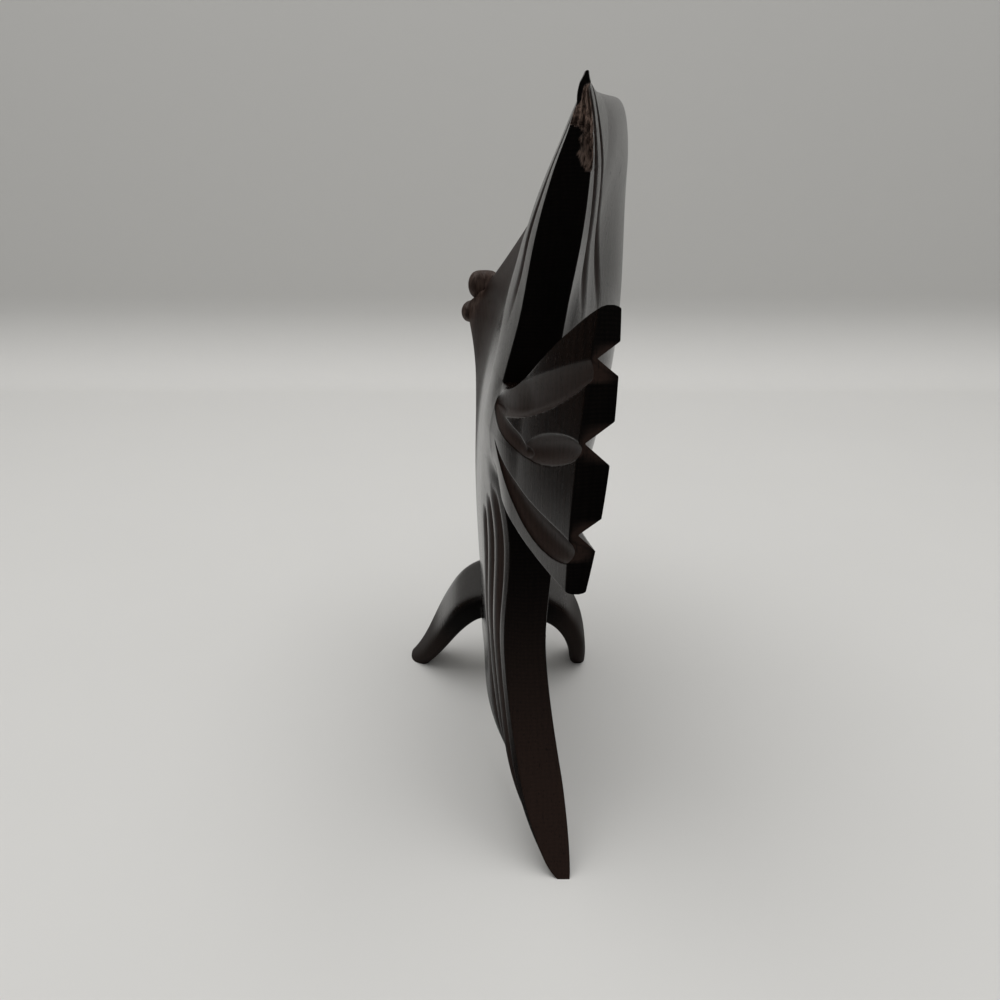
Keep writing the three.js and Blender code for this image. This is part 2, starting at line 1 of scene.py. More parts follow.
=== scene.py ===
# %% [markdown]
# # A carved wooden angelfish
# The figurine is a flat, swaying fish of dark polished hardwood. It stands on the tips of its two
# pelvic fins and on the tip of its anal fin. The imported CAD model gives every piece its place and
# its size, so it is loaded first. What this script makes stands for those solids, with the finer
# carving that the solids leave out: grooves, gouges, a broken corner and the grain of the wood.

# %% Load the frame
import math

import bmesh
import bpy
import numpy as np
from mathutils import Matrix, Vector, noise

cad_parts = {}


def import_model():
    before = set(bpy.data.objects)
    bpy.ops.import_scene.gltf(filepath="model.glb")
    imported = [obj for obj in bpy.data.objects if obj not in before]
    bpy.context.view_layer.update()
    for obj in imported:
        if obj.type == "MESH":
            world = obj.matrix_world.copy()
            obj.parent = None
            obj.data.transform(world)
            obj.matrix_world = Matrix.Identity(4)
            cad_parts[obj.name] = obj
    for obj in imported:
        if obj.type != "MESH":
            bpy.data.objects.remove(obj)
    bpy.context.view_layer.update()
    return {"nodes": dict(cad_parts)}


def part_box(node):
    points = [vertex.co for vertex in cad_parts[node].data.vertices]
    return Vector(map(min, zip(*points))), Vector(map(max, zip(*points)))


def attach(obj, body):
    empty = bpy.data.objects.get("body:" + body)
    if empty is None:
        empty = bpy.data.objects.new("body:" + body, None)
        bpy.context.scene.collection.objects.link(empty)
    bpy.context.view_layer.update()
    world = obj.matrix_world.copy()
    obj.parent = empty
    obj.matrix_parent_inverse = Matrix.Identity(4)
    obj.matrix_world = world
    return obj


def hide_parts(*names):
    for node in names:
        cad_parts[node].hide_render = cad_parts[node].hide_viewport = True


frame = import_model()

# %% [markdown]
# ## The side view
# A carver starts by drawing the fish's side view on a plank. The same drawing is made here from a
# few Bezier lines, in millimetres. A reach is measured forward from the root of the tail, and a
# level up from the table. Curves in Blender could hold the lines too, but plain arrays are easier
# to sample in thousands of places at once.

# %% Corners of the side view
ROOT_LEVEL, ROOT_DEPTH = 104.0, 24.0
CREST, CREST_TURN = np.array([62.0, 181.5]), 24.0
BELLY, BELLY_TURN = np.array([56.0, 11.0]), 26.0
MOUTH_REACH, MOUTH_LEVEL, MOUTH_DEPTH, JAW_JUT = 134.0, 115.0, 9.0, 3.5
FOOT_WEAR = 2.6
DORSAL_TIP = np.array([-32.0, 183.5])
ANAL_TIP = np.array([-38.6, -FOOT_WEAR])

root_top = np.array([0, ROOT_LEVEL + ROOT_DEPTH / 2])
root_bottom = np.array([0, ROOT_LEVEL - ROOT_DEPTH / 2])
snout_top = np.array([MOUTH_REACH - JAW_JUT, MOUTH_LEVEL + MOUTH_DEPTH / 2])
snout_bottom = np.array([MOUTH_REACH + JAW_JUT, MOUTH_LEVEL - MOUTH_DEPTH / 2])
print("side view from", DORSAL_TIP, "to", snout_bottom)


# %% Lines of the side view
def bezier(points, share):
    """Places on a Bezier line of any order, for an array of shares from 0 to 1."""
    share = np.asarray(share, float)[..., None]
    row = [np.asarray(point, float) for point in points]
    while len(row) > 1:
        row = [a + (b - a) * share for a, b in zip(row, row[1:])]
    return np.broadcast_to(row[0], share.shape[:-1] + row[0].shape[-1:])


def bowed(a, b, bow):
    """A line from a to b that bows to the left of its own direction."""
    along = (b - a) / np.linalg.norm(b - a)
    return [a, (a + b) / 2 + 2 * bow * np.array([-along[1], along[0]]), b]


DORSAL_TIP_TURN, ANAL_TIP_TURN = np.array([27, -4]), np.array([25, 17])
FOREHEAD_TURN, THROAT_TURN = np.array([-10, 15]), np.array([-20, -22])
DORSAL_ROOT_BOW, ANAL_ROOT_BOW = -9, 10
DORSAL_REAR_BOW, ANAL_REAR_BOW = -4, 3

top_edge = [DORSAL_TIP, DORSAL_TIP + DORSAL_TIP_TURN, CREST - [CREST_TURN, 0], CREST]
forehead = [CREST, CREST + [CREST_TURN, 0], snout_top + FOREHEAD_TURN, snout_top]
throat = [BELLY, BELLY + [BELLY_TURN, 0], snout_bottom + THROAT_TURN, snout_bottom]
bottom_edge = [ANAL_TIP, ANAL_TIP + ANAL_TIP_TURN, BELLY - [BELLY_TURN, 0], BELLY]
dorsal_root = bowed(root_top, CREST, DORSAL_ROOT_BOW)
anal_root = bowed(root_bottom, BELLY, ANAL_ROOT_BOW)
dorsal_trailing = bowed(root_top, DORSAL_TIP, DORSAL_REAR_BOW)
anal_trailing = bowed(root_bottom, ANAL_TIP, ANAL_REAR_BOW)

# %% [markdown]
# ## The sway and the thickness
# The fish isn't a flat board. Its middle surface sways to and fro, leans, and turns its head to the
# left, and its thickness swells in the body and rounds off to nothing on the outline. Both are
# plain functions of the place in the side view, the same ones that the CAD solids follow, so the
# fins and the body run into each other without a step.

# %% Distances and easing
LINE_POINTS = 121


def drawn(lines):
    """Short straight pieces along some Bezier lines."""
    points = [bezier(line, np.linspace(0, 1, LINE_POINTS)) for line in lines]
    return np.concatenate([np.stack([row[:-1], row[1:]], 1) for row in points])


outline = drawn([top_edge, forehead, throat, bottom_edge])
trailing = drawn([dorsal_trailing, anal_trailing])


def distance_to(pieces, reach, level):
    """Distance from each place to the nearest of the straight pieces."""
    places = np.stack([np.ravel(reach), np.ravel(level)], -1)
    least = np.full(len(places), np.inf)
    for a, b in pieces:
        step = b - a
        share = np.clip((places - a) @ step / (step @ step), 0, 1)
        least = np.minimum(least, np.hypot(*(places - a - share[:, None] * step).T))
    return least.reshape(np.shape(reach))


def smooth(value, low, high):
    """Eases from 0 at the low value to 1 at the high one."""
    share = np.clip((value - low) / (high - low), 0, 1)
    return share * share * (3 - 2 * share)


def lerp(a, b, share):
    return a + (b - a) * share


def risen(distance, run):
    """A quarter wave that rises from 0 to 1 over a run, and stays there."""
    return np.sin(np.pi / 2 * np.minimum(1, distance / run))


def leaning(distance, run):
    """Rises evenly from 0, and eases to 1 at the end of a run."""
    share = np.minimum(1, distance / run)
    return 1.25 * share - 0.25 * share ** 5


def rounded(distance, run):
    """A quarter circle that rises from 0 to 1 over a run, and stays there."""
    return np.sqrt(1 - (1 - np.minimum(distance / run, 1)) ** 2)


# %% Sway of the middle surface
SIDE_SHIFT, LEAN_CHANGE = 5.5, 30.0
BELLY_LEAN, BELLY_LEAN_FROM = 0.18, -15.0
BACK_LEAN, BACK_LEAN_RISE = 0.152, 0.001
BULGE, HEAD_TURN, TURN_FROM, TIP_CURL = 9.2, 26.0, 50.0, 10.0
RIPPLE, RIPPLE_RETURN, RIPPLE_HEIGHT, RIPPLE_REACH = 2.6, 0.25, 30.0, 30.0
RIPPLE_LEVEL, RETURN_LEVEL = 78.0, 48.0


def above(level):
    return smooth(level, ROOT_LEVEL - LEAN_CHANGE, ROOT_LEVEL + LEAN_CHANGE)


def ripple(reach, level):
    """The anal fin bulges to the right under its root, and a little to the left below that."""
    def bulge(middle):
        return np.cos(np.pi / 2 * np.minimum(1, np.abs(level - middle) / RIPPLE_HEIGHT)) ** 2
    both = bulge(RIPPLE_LEVEL) - RIPPLE_RETURN * bulge(RETURN_LEVEL)
    return RIPPLE * both * (1 - smooth(reach, 0, RIPPLE_REACH))


def middle_x(reach, level):
    """X of the middle surface, in millimetres."""
    below = BELLY_LEAN * smooth(reach, BELLY_LEAN_FROM, BELLY[0])
    lean = lerp(below, BACK_LEAN + BACK_LEAN_RISE * np.maximum(0, reach), above(level))
    sunk = np.maximum(0, 1 - level / ROOT_LEVEL)
    swept = np.maximum(0, (BELLY[0] - reach) / (BELLY[0] - ANAL_TIP[0]))
    rise = np.clip((level - root_top[1]) / (DORSAL_TIP[1] - root_top[1]), 0, 1)
    bulge = BULGE * smooth(reach, DORSAL_TIP[0] * rise, TURN_FROM)
    turn = HEAD_TURN * (np.maximum(0, reach - TURN_FROM) / (MOUTH_REACH - TURN_FROM)) ** 2
    curl = TIP_CURL * (sunk * swept) ** 2
    return SIDE_SHIFT + bulge - turn + lean * (level - ROOT_LEVEL) + curl + ripple(reach, level)


# %% Thickness
ROUNDING = 18.0
BODY_THICKNESS, BOARD_THICKNESS, TIP_THICKNESS, TIP_RUN = 34.0, 10.4, 1.2, 45.0
SWELL_REACH, SWELL_LEVEL, SWELL_LENGTH, SWELL_HEIGHT = 58.0, 97.0, 72.0, 86.0
BEVEL_FADE = 70.0
DORSAL_BEVEL, DORSAL_BEVEL_RUN, NECK_SHARE = 6.5, 30.0, 0.45
NECK_LEVELS, BEVEL_END = (112, 138), (146, 174)
ANAL_BEVELS, ANAL_BEVEL_RISE, ANAL_BEVEL_RUN = (2.3, 1.8), (22, 52), 8.0
RIGHT_BEVEL, RIGHT_BEVEL_RUN, RIGHT_BEVEL_TAPER = 3.0, 12.0, 90.0
CHEEK, CHEEK_REACHES = 0.4, (96, 122)
CHEEK_LOW, CHEEK_HIGH = (84, 104), (116, 124)


def from_dorsal_tip(reach, level):
    return np.hypot(reach - DORSAL_TIP[0], level - DORSAL_TIP[1])


def halves(reach, level):
    """From the middle surface to the left and to the right face, and how far both are rounded off."""
    rounding = rounded(distance_to(outline, reach, level), ROUNDING)
    far = ((reach - SWELL_REACH) / SWELL_LENGTH) ** 2 + ((level - SWELL_LEVEL) / SWELL_HEIGHT) ** 2
    swell = (BODY_THICKNESS - BOARD_THICKNESS) * np.maximum(0, 1 - far) ** 2
    from_tip = from_dorsal_tip(reach, level)
    half = (lerp(TIP_THICKNESS, BOARD_THICKNESS, risen(from_tip, TIP_RUN)) + swell) / 2
    behind = distance_to(trailing, reach, level)
    fade = 1 - smooth(reach, 0, BEVEL_FADE)
    neck = lerp(NECK_SHARE, 1, smooth(level, *NECK_LEVELS))
    dorsal_bevel = DORSAL_BEVEL * neck * (1 - smooth(level, *BEVEL_END))
    anal_bevel = lerp(*ANAL_BEVELS, smooth(level, *ANAL_BEVEL_RISE)) * risen(behind, ANAL_BEVEL_RUN)
    left_bevel = fade * lerp(anal_bevel, dorsal_bevel * leaning(behind, DORSAL_BEVEL_RUN), above(level))
    right_bevel = fade * RIGHT_BEVEL * above(level) * risen(from_tip, RIGHT_BEVEL_TAPER)
    right_bevel = right_bevel * risen(behind, RIGHT_BEVEL_RUN)
    cheek = smooth(reach, *CHEEK_REACHES) * smooth(level, *CHEEK_LOW)
    cheek = cheek * (1 - smooth(level, *CHEEK_HIGH))
    left = (half + left_bevel) * rounding * (1 - CHEEK * cheek)
    return left, (half + right_bevel) * rounding, rounding


# %% [markdown]
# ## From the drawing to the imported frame
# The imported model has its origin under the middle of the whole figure, so the drawing is shifted.
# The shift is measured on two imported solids: the body starts at reach 0, and the tail's dowel lies
# on the middle surface.

# %% Measure the shift
MM = 0.001
TAIL_DOWEL_ENDS = np.array([-12.0, 12.0])
low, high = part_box("tail_dowel")
dowel_middle = np.mean(middle_x(TAIL_DOWEL_ENDS, np.full(2, ROOT_LEVEL)))
shift = np.array([(low.x + high.x) / 2 - dowel_middle * MM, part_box("body")[0].y, 0])
print("shift of the drawing, in metres", np.round(shift, 5))


def world(x, reach, level):
    """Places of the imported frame, in metres, for X, reach and level in millimetres."""
    return np.stack(np.broadcast_arrays(x, reach, level), -1) * MM + shift


# %% [markdown]
# ## One way to make every board
# The body and the fins are all boards with a left face, a right face and a rear wall. Each is made
# as a strip of columns that runs from the front along the left face, round the rear wall and back
# along the right face. Columns opposite each other are then joined along the top, the bottom and the
# front, and points that fall together are merged. Every column also keeps how far it belongs to the
# left and to the right face, so that later carving knows which face it cuts.

# %% Mesh helpers
TINY, LEAST_EDGE = 1e-6, 1e-7
SHARP_ANGLE = math.radians(40)


def new_object(name, data):
    piece = bpy.data.objects.new(name, data)
    bpy.context.scene.collection.objects.link(piece)
    return piece


def finish_mesh(piece):
    """Merged points, outward faces, and smooth shading up to an angle."""
    work = bmesh.new()
    work.from_mesh(piece.data)
    bmesh.ops.remove_doubles(work, verts=work.verts, dist=TINY)
    bmesh.ops.dissolve_degenerate(work, edges=work.edges, dist=LEAST_EDGE)
    bmesh.ops.recalc_face_normals(work, faces=work.faces)
    work.to_mesh(piece.data)
    work.free()
    piece.data.shade_smooth()
    piece.data.set_sharp_from_angle(angle=SHARP_ANGLE)


def quads(a, b, c, d):
    """Four-sided faces from four arrays of point numbers."""
    return np.stack([a, b, c, d], -1).reshape(-1, 4)


def add_mark(mesh, mark, values):
    """Keeps one value for each point of a mesh under a name."""
    layer = mesh.attributes.new(mark, "FLOAT", "POINT")
    layer.data.foreach_set("value", np.ravel(values).astype(np.float32))


# %% Board helper
def board(name, places, marks):
    """A closed board from places[column, row, axis], with marks kept as attributes of its points."""
    columns, rows = places.shape[:2]
    number = np.arange(columns * rows).reshape(columns, rows)
    other = number[::-1]
    half = columns // 2
    faces = np.concatenate([
        quads(number[:-1, :-1], number[1:, :-1], number[1:, 1:], number[:-1, 1:]),
        quads(number[:half - 1, 0], other[:half - 1, 0], other[1:half, 0], number[1:half, 0]),
        quads(number[:half - 1, -1], number[1:half, -1], other[1:half, -1], other[:half - 1, -1]),
        quads(number[0, :-1], number[0, 1:], other[0, 1:], other[0, :-1]),
    ])
    mesh = bpy.data.meshes.new(name)
    mesh.from_pydata(places.reshape(-1, 3).tolist(), [], faces.tolist())
    for mark, values in marks.items():
        add_mark(mesh, mark, np.broadcast_to(values, (columns, rows)))
    return new_object(name, mesh)


def patch(bottom, top, rear, front):
    """A four-sided patch of the side view between four Bezier lines, as a function of shares."""
    def place(u, v):
        across, along = u[..., None], v[..., None]
        flat_low = lerp(bezier(bottom, 0), bezier(bottom, 1), across)
        flat_high = lerp(bezier(top, 0), bezier(top, 1), across)
        ends = lerp(bezier(rear, v), bezier(front, v), across)
        sides = lerp(bezier(bottom, u), bezier(top, u), along)
        spot = sides + ends - lerp(flat_low, flat_high, along)
        return spot[..., 0], spot[..., 1]
    return place


# %% [markdown]
# ## Node trees written as sums
# The carving and the wood both need arithmetic on values that change over a surface. Placing Math
# nodes one by one is hard to read, so one small class wraps a socket and lets Python's operators
# add the nodes. Nodes of every kind go through one function.

# %% Node helper
def operator(operation, reflected=False):
    """A method that adds one Math node for a value and any others, in either order."""
    def method(self, *others):
        values = (*others, self) if reflected else (self, *others)
        return add_node(self.tree, "ShaderNodeMath", {"operation": operation}, dict(enumerate(values)))
    return method


class Value:
    """A socket of a node tree that takes part in sums like a number."""

    def __init__(self, tree, socket):
        self.tree, self.socket = tree, socket

    __add__, __radd__ = operator("ADD"), operator("ADD", True)
    __sub__, __rsub__ = operator("SUBTRACT"), operator("SUBTRACT", True)
    __mul__, __rmul__ = operator("MULTIPLY"), operator("MULTIPLY", True)
    __truediv__, __pow__ = operator("DIVIDE"), operator("POWER")
    most, least, __abs__ = operator("MAXIMUM"), operator("MINIMUM"), operator("ABSOLUTE")
    sine, root, nearest = operator("SINE"), operator("SQRT"), operator("ROUND")

    def within(self, low, high):
        return self.most(low).least(high)

    def ramp(self, low, high):
        """Rises evenly from 0 at the low value to 1 at the high one."""
        return ((self - low) / (high - low)).within(0, 1)


def add_node(tree, kind, settings=None, sockets=None, output=0):
    """A node with its settings first and then the values or links of its sockets."""
    node = tree.nodes.new(kind)
    for setting, value in (settings or {}).items():
        setattr(node, setting, value)
    for key, value in (sockets or {}).items():
        if isinstance(value, Value):
            tree.links.new(value.socket, node.inputs[key])
        else:
            node.inputs[key].default_value = value
    return Value(tree, node.outputs[output]) if node.outputs else None


def axes(vector):
    """The X, the Y and the Z of a vector, as three values."""
    split = add_node(vector.tree, "ShaderNodeSeparateXYZ", sockets={"Vector": vector})
    return [Value(vector.tree, output) for output in split.socket.node.outputs]


# %% [markdown]
# ## Tools for carving
# Along the trailing edges the carver ran a V tool side by side, which leaves parallel grooves with
# rounded ridges, and on the tail there are leaf-shaped strokes of a gouge. A sculpted mesh would hold
# them too, but each is a rule, so two Geometry Nodes trees move the points of one face towards the
# middle of the board. A tree is added once for each set of cuts, with its own sizes.

# %% Start and end of a carving tree
def carving_tree(name, sizes, places=()):
    """An empty tree with its named inputs, and those inputs as values."""
    kinds = {"Geometry": "Geometry", **dict.fromkeys(places, "Vector"), **dict.fromkeys(sizes, "Float"),
             "Face": "String", "Material": "Material"}
    tree = bpy.data.node_groups.new(name, "GeometryNodeTree")
    for label, kind in kinds.items():
        tree.interface.new_socket(label, in_out="INPUT", socket_type=f"NodeSocket{kind}")
    tree.interface.new_socket("Geometry", in_out="OUTPUT", socket_type="NodeSocketGeometry")
    start = tree.nodes.new("NodeGroupInput")
    return tree, {label: Value(tree, start.outputs[label]) for label in kinds}


def named(tree, name):
    return add_node(tree, "GeometryNodeInputNamedAttribute", {"data_type": "FLOAT"}, {"Name": name})


def close_tree(tree, given, share):
    """Points move along X by a share of the depth, and the mark "cut" keeps that share."""
    offset = add_node(tree, "ShaderNodeCombineXYZ", sockets={"X": given["Depth"] * share})
    moved = add_node(tree, "GeometryNodeSetPosition",
                     sockets={"Geometry": given["Geometry"], "Offset": offset})
    kept = add_node(tree, "GeometryNodeStoreNamedAttribute", {"data_type": "FLOAT", "domain": "POINT"},
                    {"Geometry": moved, "Name": "cut", "Value": named(tree, "cut").most(share)})
    real = add_node(tree, "GeometryNodeRealizeInstances", sockets={"Geometry": kept})
    painted = add_node(tree, "GeometryNodeSetMaterial",
                       sockets={"Geometry": real, "Material": given["Material"]})
    add_node(tree, "NodeGroupOutput", sockets={"Geometry": painted})


# %% Parallel grooves
grooves, given = carving_tree("parallel grooves", [
    "First", "Spacing", "Count", "Width", "Depth", "Full Height", "Gone Height"])
behind = named(grooves, "from_edge") - given["First"]
number = (behind / given["Spacing"]).nearest().within(0, given["Count"] - 1)
away = abs(behind - number * given["Spacing"])
notch = 1 - (math.pi / 2 * (2 * away / given["Width"]).within(0, 1)).sine()
_, _, height = axes(add_node(grooves, "GeometryNodeInputPosition"))
strength = add_node(grooves, "ShaderNodeMapRange", {"interpolation_type": "SMOOTHSTEP"},
                    {"Value": height, "From Min": given["Gone Height"], "From Max": given["Full Height"]})
close_tree(grooves, given, notch * strength * named(grooves, given["Face"]))
print("grooves tree has", len(grooves.nodes), "nodes")

# %% One stroke of a gouge
gouge, given = carving_tree("gouge stroke", [
    "Bow", "Skew", "Width", "Depth", "Power", "Soft"], places=["Start", "End"])
_, point_y, point_z = axes(add_node(gouge, "GeometryNodeInputPosition"))
_, start_y, start_z = axes(given["Start"])
_, end_y, end_z = axes(given["End"])
along_y, along_z = end_y - start_y, end_z - start_z
length = (along_y * along_y + along_z * along_z).root()
run = ((point_y - start_y) * along_y + (point_z - start_z) * along_z) / (length * length)
run = run.within(0, 1)
aside = ((point_y - start_y) * along_z - (point_z - start_z) * along_y) / length
aside = aside - 4 * given["Bow"] * run * (1 - run)
skewed = run ** given["Skew"]
leaf = (4 * skewed * (1 - skewed)).root()
across = (2 * aside / (given["Width"] * leaf + TINY)).within(-1, 1)
hollow = (1 - abs(across) ** given["Power"]) * (1 - across) ** given["Soft"]
close_tree(gouge, given, leaf * hollow * named(gouge, given["Face"]))
print("gouge tree has", len(gouge.nodes), "nodes")


# %% Using a carving tree
def carve(piece, tree, sizes):
    """One more use of a carving tree on a board, with its inputs set by their identifiers."""
    modifier = piece.modifiers.new(tree.name, "NODES")
    modifier.node_group = tree
    for socket in tree.interface.items_tree:
        if socket.in_out == "INPUT" and socket.name in sizes:
            modifier[socket.identifier] = sizes[socket.name]


def settle(piece):
    """The result of all modifiers becomes the piece's own plain mesh."""
    result = bpy.data.meshes.new_from_object(piece.evaluated_get(bpy.context.evaluated_depsgraph_get()))
    piece.modifiers.clear()
    piece.data = result
    finish_mesh(piece)
    print(piece.name, len(piece.data.polygons), "faces")


# %% [markdown]
# ## The wood
# The fish is cut from a dense, nearly black hardwood and polished with wax. Its growth layers are
# stacked from side to side, so a gouge cuts through them and shows them as nested ovals, while its
# fibres run upright. The sawn rear walls are bare and dull, with fine saw lines across them. All of
# it is worked out from Object coordinates, which needs no image and runs on from one board into the
# next. Marks on the points say where the surface differs: "sawn" is bare, and higher up the right
# pelvic fin it is also painted shade; "cut" shows the inside of the wood, and low on the fins' rear
# walls it is painted light; "raw" is the paler, torn wood of the dorsal fin's break, with a touch of
# it on the lips.

# %% Patterns of the wood
def new_material(name):
    material = bpy.data.materials.new(name)
    material.use_nodes = True
    material.node_tree.nodes.clear()
    return material, material.node_tree


def object_place(tree):
    return add_node(tree, "ShaderNodeTexCoord", output="Object")


def stretched_noise(tree, waves, detail, roughness=0.5):
    """Noise on Object coordinates, with its own number of waves per metre along each axis."""
    scaled = add_node(tree, "ShaderNodeMapping", sockets={"Vector": object_place(tree), "Scale": waves})
    return add_node(tree, "ShaderNodeTexNoise", sockets={
        "Vector": scaled, "Scale": 1.0, "Detail": detail, "Roughness": roughness})


def stripes(value):
    """A wave between 0 and 1 that comes round once for each whole number."""
    return 0.5 + 0.5 * (2 * math.pi * value).sine()


def read_mark(tree, name):
    return add_node(tree, "ShaderNodeAttribute", {"attribute_name": name}, output="Fac")


def blend_colours(tree, share, first, second):
    return add_node(tree, "ShaderNodeMix", {"data_type": "RGBA"}, {0: share, 6: first, 7: second}, output=2)


# %% Sizes of the patterns
LAYERS, LAYER_WANDER = 900, 9
SAW_LINES, SAW_WANDER = 1100, 3
WANDER_WAVES, FIBRE_WAVES, PATCH_WAVES = (60, 22, 9), (2600, 1500, 70), (70, 30, 14)
PORE_WAVES, SPLINTER_WAVES = (4200, 2600, 260), (1500, 1500, 160)
PORE_RANGE, SPLINTER_RANGE, SAW_RANGE, CUT_RANGE = (0.6, 0.7), (0.38, 0.58), (0.6, 1), (0, 1 / 3)
SAWN_DARKER, CUT_PALER, PORE_DARKER, LEAST_RAW = 0.4, 0.45, 0.6, 0.15
RAW_ROUGHNESS, BARE_ROUGHNESS, COAT_ROUGHNESS = 0.75, 0.6, 0.1
BUMP_STRENGTH, BUMP_DISTANCE = 0.12, 0.0003
WOOD_IOR, BARE_SPECULAR = 1.45, 0.15


# %% Finish of the wood
def wood_finish(name, dark, light, cut_wood, raw_wood, roughness, coat):
    """Waxed wood that is bare where it is sawn, and paler where it is cut or torn."""
    material, tree = new_material(name)
    across, _, height = axes(object_place(tree))
    raw, sawn = read_mark(tree, "raw"), read_mark(tree, "sawn")
    cut = read_mark(tree, "cut").ramp(*CUT_RANGE)
    wander = stretched_noise(tree, WANDER_WAVES, 3)
    fibres = stretched_noise(tree, FIBRE_WAVES, 4, 0.6)
    patches = stretched_noise(tree, PATCH_WAVES, 3)
    pores = stretched_noise(tree, PORE_WAVES, 2).ramp(*PORE_RANGE)
    splinters = stretched_noise(tree, SPLINTER_WAVES, 3, 0.6).ramp(*SPLINTER_RANGE)
    layers = stripes(across * LAYERS + wander * LAYER_WANDER)
    kerf = sawn.ramp(*SAW_RANGE) * stripes(height * SAW_LINES + wander * SAW_WANDER)

    share = (layers * (0.2 + 0.5 * cut) + fibres * 0.7 + patches * 0.9 - 0.5).within(0, 1)
    polished = blend_colours(tree, share * (1 - SAWN_DARKER * (sawn + kerf)), dark, light)
    opened = blend_colours(tree, cut * CUT_PALER, polished, cut_wood)
    porous = blend_colours(tree, pores * PORE_DARKER, opened, dark)
    colour = blend_colours(tree, raw * (LEAST_RAW + (1 - LEAST_RAW) * splinters), porous, raw_wood)

    polish = roughness - 0.05 + 0.08 * fibres + 0.1 * pores + 0.06 * patches + 0.22 * cut
    rough = polish * (1 - raw) + RAW_ROUGHNESS * raw
    relief = fibres * 0.6 + layers * (0.1 + 0.3 * cut) + raw * splinters * 3 + kerf * 0.3
    bump = add_node(tree, "ShaderNodeBump", sockets={
        "Strength": BUMP_STRENGTH, "Distance": BUMP_DISTANCE, "Height": relief})
    waxed = add_node(tree, "ShaderNodeBsdfPrincipled", sockets={
        "Base Color": colour, "Roughness": rough, "Normal": bump, "IOR": WOOD_IOR,
        "Coat Weight": coat * (1 - raw) * (1 - cut), "Coat Roughness": COAT_ROUGHNESS})
    bare = add_node(tree, "ShaderNodeBsdfPrincipled", sockets={
        "Base Color": colour, "Roughness": BARE_ROUGHNESS, "Normal": bump, "IOR": WOOD_IOR,
        "Specular IOR Level": BARE_SPECULAR})
    shader = add_node(tree, "ShaderNodeMixShader", sockets={0: sawn, 1: waxed, 2: bare})
    add_node(tree, "ShaderNodeOutputMaterial", sockets={"Surface": shader})
    return material


# %% Three woods
dark_wood = wood_finish("dark polished wood", (0.0013, 0.0008, 0.0006, 1), (0.013, 0.0065, 0.0042, 1),
                        (0.042, 0.022, 0.016, 1), (0.23, 0.16, 0.13, 1), roughness=0.2, coat=0.1)
eye_wood = wood_finish("polished eye wood", (0.004, 0.003, 0.003, 1), (0.012, 0.009, 0.008, 1),
                       (0.012, 0.009, 0.008, 1), (0.02, 0.015, 0.012, 1), roughness=0.2, coat=0.8)
dowel_wood = wood_finish("raw dowel wood", (0.27, 0.16, 0.085, 1), (0.46, 0.31, 0.18, 1),
                         (0.35, 0.22, 0.12, 1), (0.35, 0.22, 0.12, 1), roughness=0.62, coat=0.0)
print("finishes", [material.name for material in (dark_wood, eye_wood, dowel_wood)])

# %% [markdown]
# ## Columns of a board
# Every board shares one layout. The shares run along it from its rear wall to its front, and
# "across" runs from -1 on the left face over the rear wall to 1 on the right face. A rear wall ends
# in an arris, which wear has rounded by a fraction of a millimetre. A break can push the wall in.

# %% Layout of a board
CROWDING = 0.95
BREAK_REACH = 0.25
RAW_DEPTHS, RAW_RUN = (0.05, 0.3), (0.4, 1.2)
PALE_LEVELS, PALE_LEAST = (170, 177), 0.5


def crowded(count, low, high):
    """Shares from 0 to 1 that crowd towards the ends of a quarter or half wave, but never meet."""
    wave = np.sin(np.linspace(low, high, count) * np.pi / 2)
    even = np.linspace(0, 1, count)
    return lerp(even, (wave - wave[0]) / (wave[-1] - wave[0]), CROWDING)


def strip(place, faces, shares, rows, wall, meets, arris=0.0, depth=1.0, recess=None):
    """Places and marks for a board. The rear wall gets so many columns, the faces meet where
    meets(u, v) is true, depth is the board's length from the rear wall in millimetres, and recess
    gives how far a break pushes the wall in."""
    steps = np.sin(np.linspace(-np.pi / 2, np.pi / 2, wall + 2))[1:-1]
    across = np.concatenate([-np.ones(len(shares)), steps, np.ones(len(shares))])[:, None]
    first = arris / depth
    along = first + (1 - first) * np.asarray(shares)
    u = np.concatenate([along[::-1], np.zeros(wall), along])[:, None] + 0 * rows
    v = 0 * u + rows
    if arris:
        on_wall = (np.abs(across) < 1)[:, 0]
        edge_reach, edge_level = place(np.full_like(rows, first), rows)
        _, left, right, _ = faces(np.full_like(rows, first), rows, edge_reach, edge_level)
        half = np.where(across[on_wall] < 0, left, right)
        past = np.clip(np.abs(across[on_wall]) * half - (half - arris), 0, arris)
        u[on_wall] = (arris - np.sqrt(arris ** 2 - past ** 2)) / depth
    raw = 0 * u
    if recess:
        push = recess(across + 0 * v, place(0 * u, v)[1]) / depth
        raw = smooth(push * depth, *RAW_DEPTHS) * (1 - smooth(u * depth, *RAW_RUN))
        u = u + push * np.clip(1 - u / BREAK_REACH, 0, 1)
    reach, level = place(u, v)
    raw = raw * lerp(PALE_LEAST, 1, smooth(level, *PALE_LEVELS))
    middle, left, right, rounding = faces(u, v, reach, level)
    x = middle + across * np.where(meets(u, v), 0, np.where(across < 0, left, right))
    sawn = (np.abs(across) < 1) + 0 * u
    marks = {"left_share": (1 - across) / 2 * rounding, "right_share": (1 + across) / 2 * rounding,
             "raw": raw, "sawn": sawn, "cut": 0 * u}
    return x, reach, level, marks


def swaying(u, v, reach, level):
    return middle_x(reach, level), *halves(reach, level)


# %% [markdown]
# ## The body
# The body is the thickest board, lens-shaped from side to side. Its columns run from the tail's root
# to the snout, and its rows crowd towards the outline, where the surface turns round most sharply.
# Subdividing a coarse cage would shrink it off the drawn outline, so it is sampled finely at once.
# The head is less polished than the flanks.

# %% Body
BODY_COLUMNS, BODY_ROWS = 190, 110
HEAD_REACHES, HEAD_CUT, HEAD_SAWN = (78, 100), 0.3, 0.6


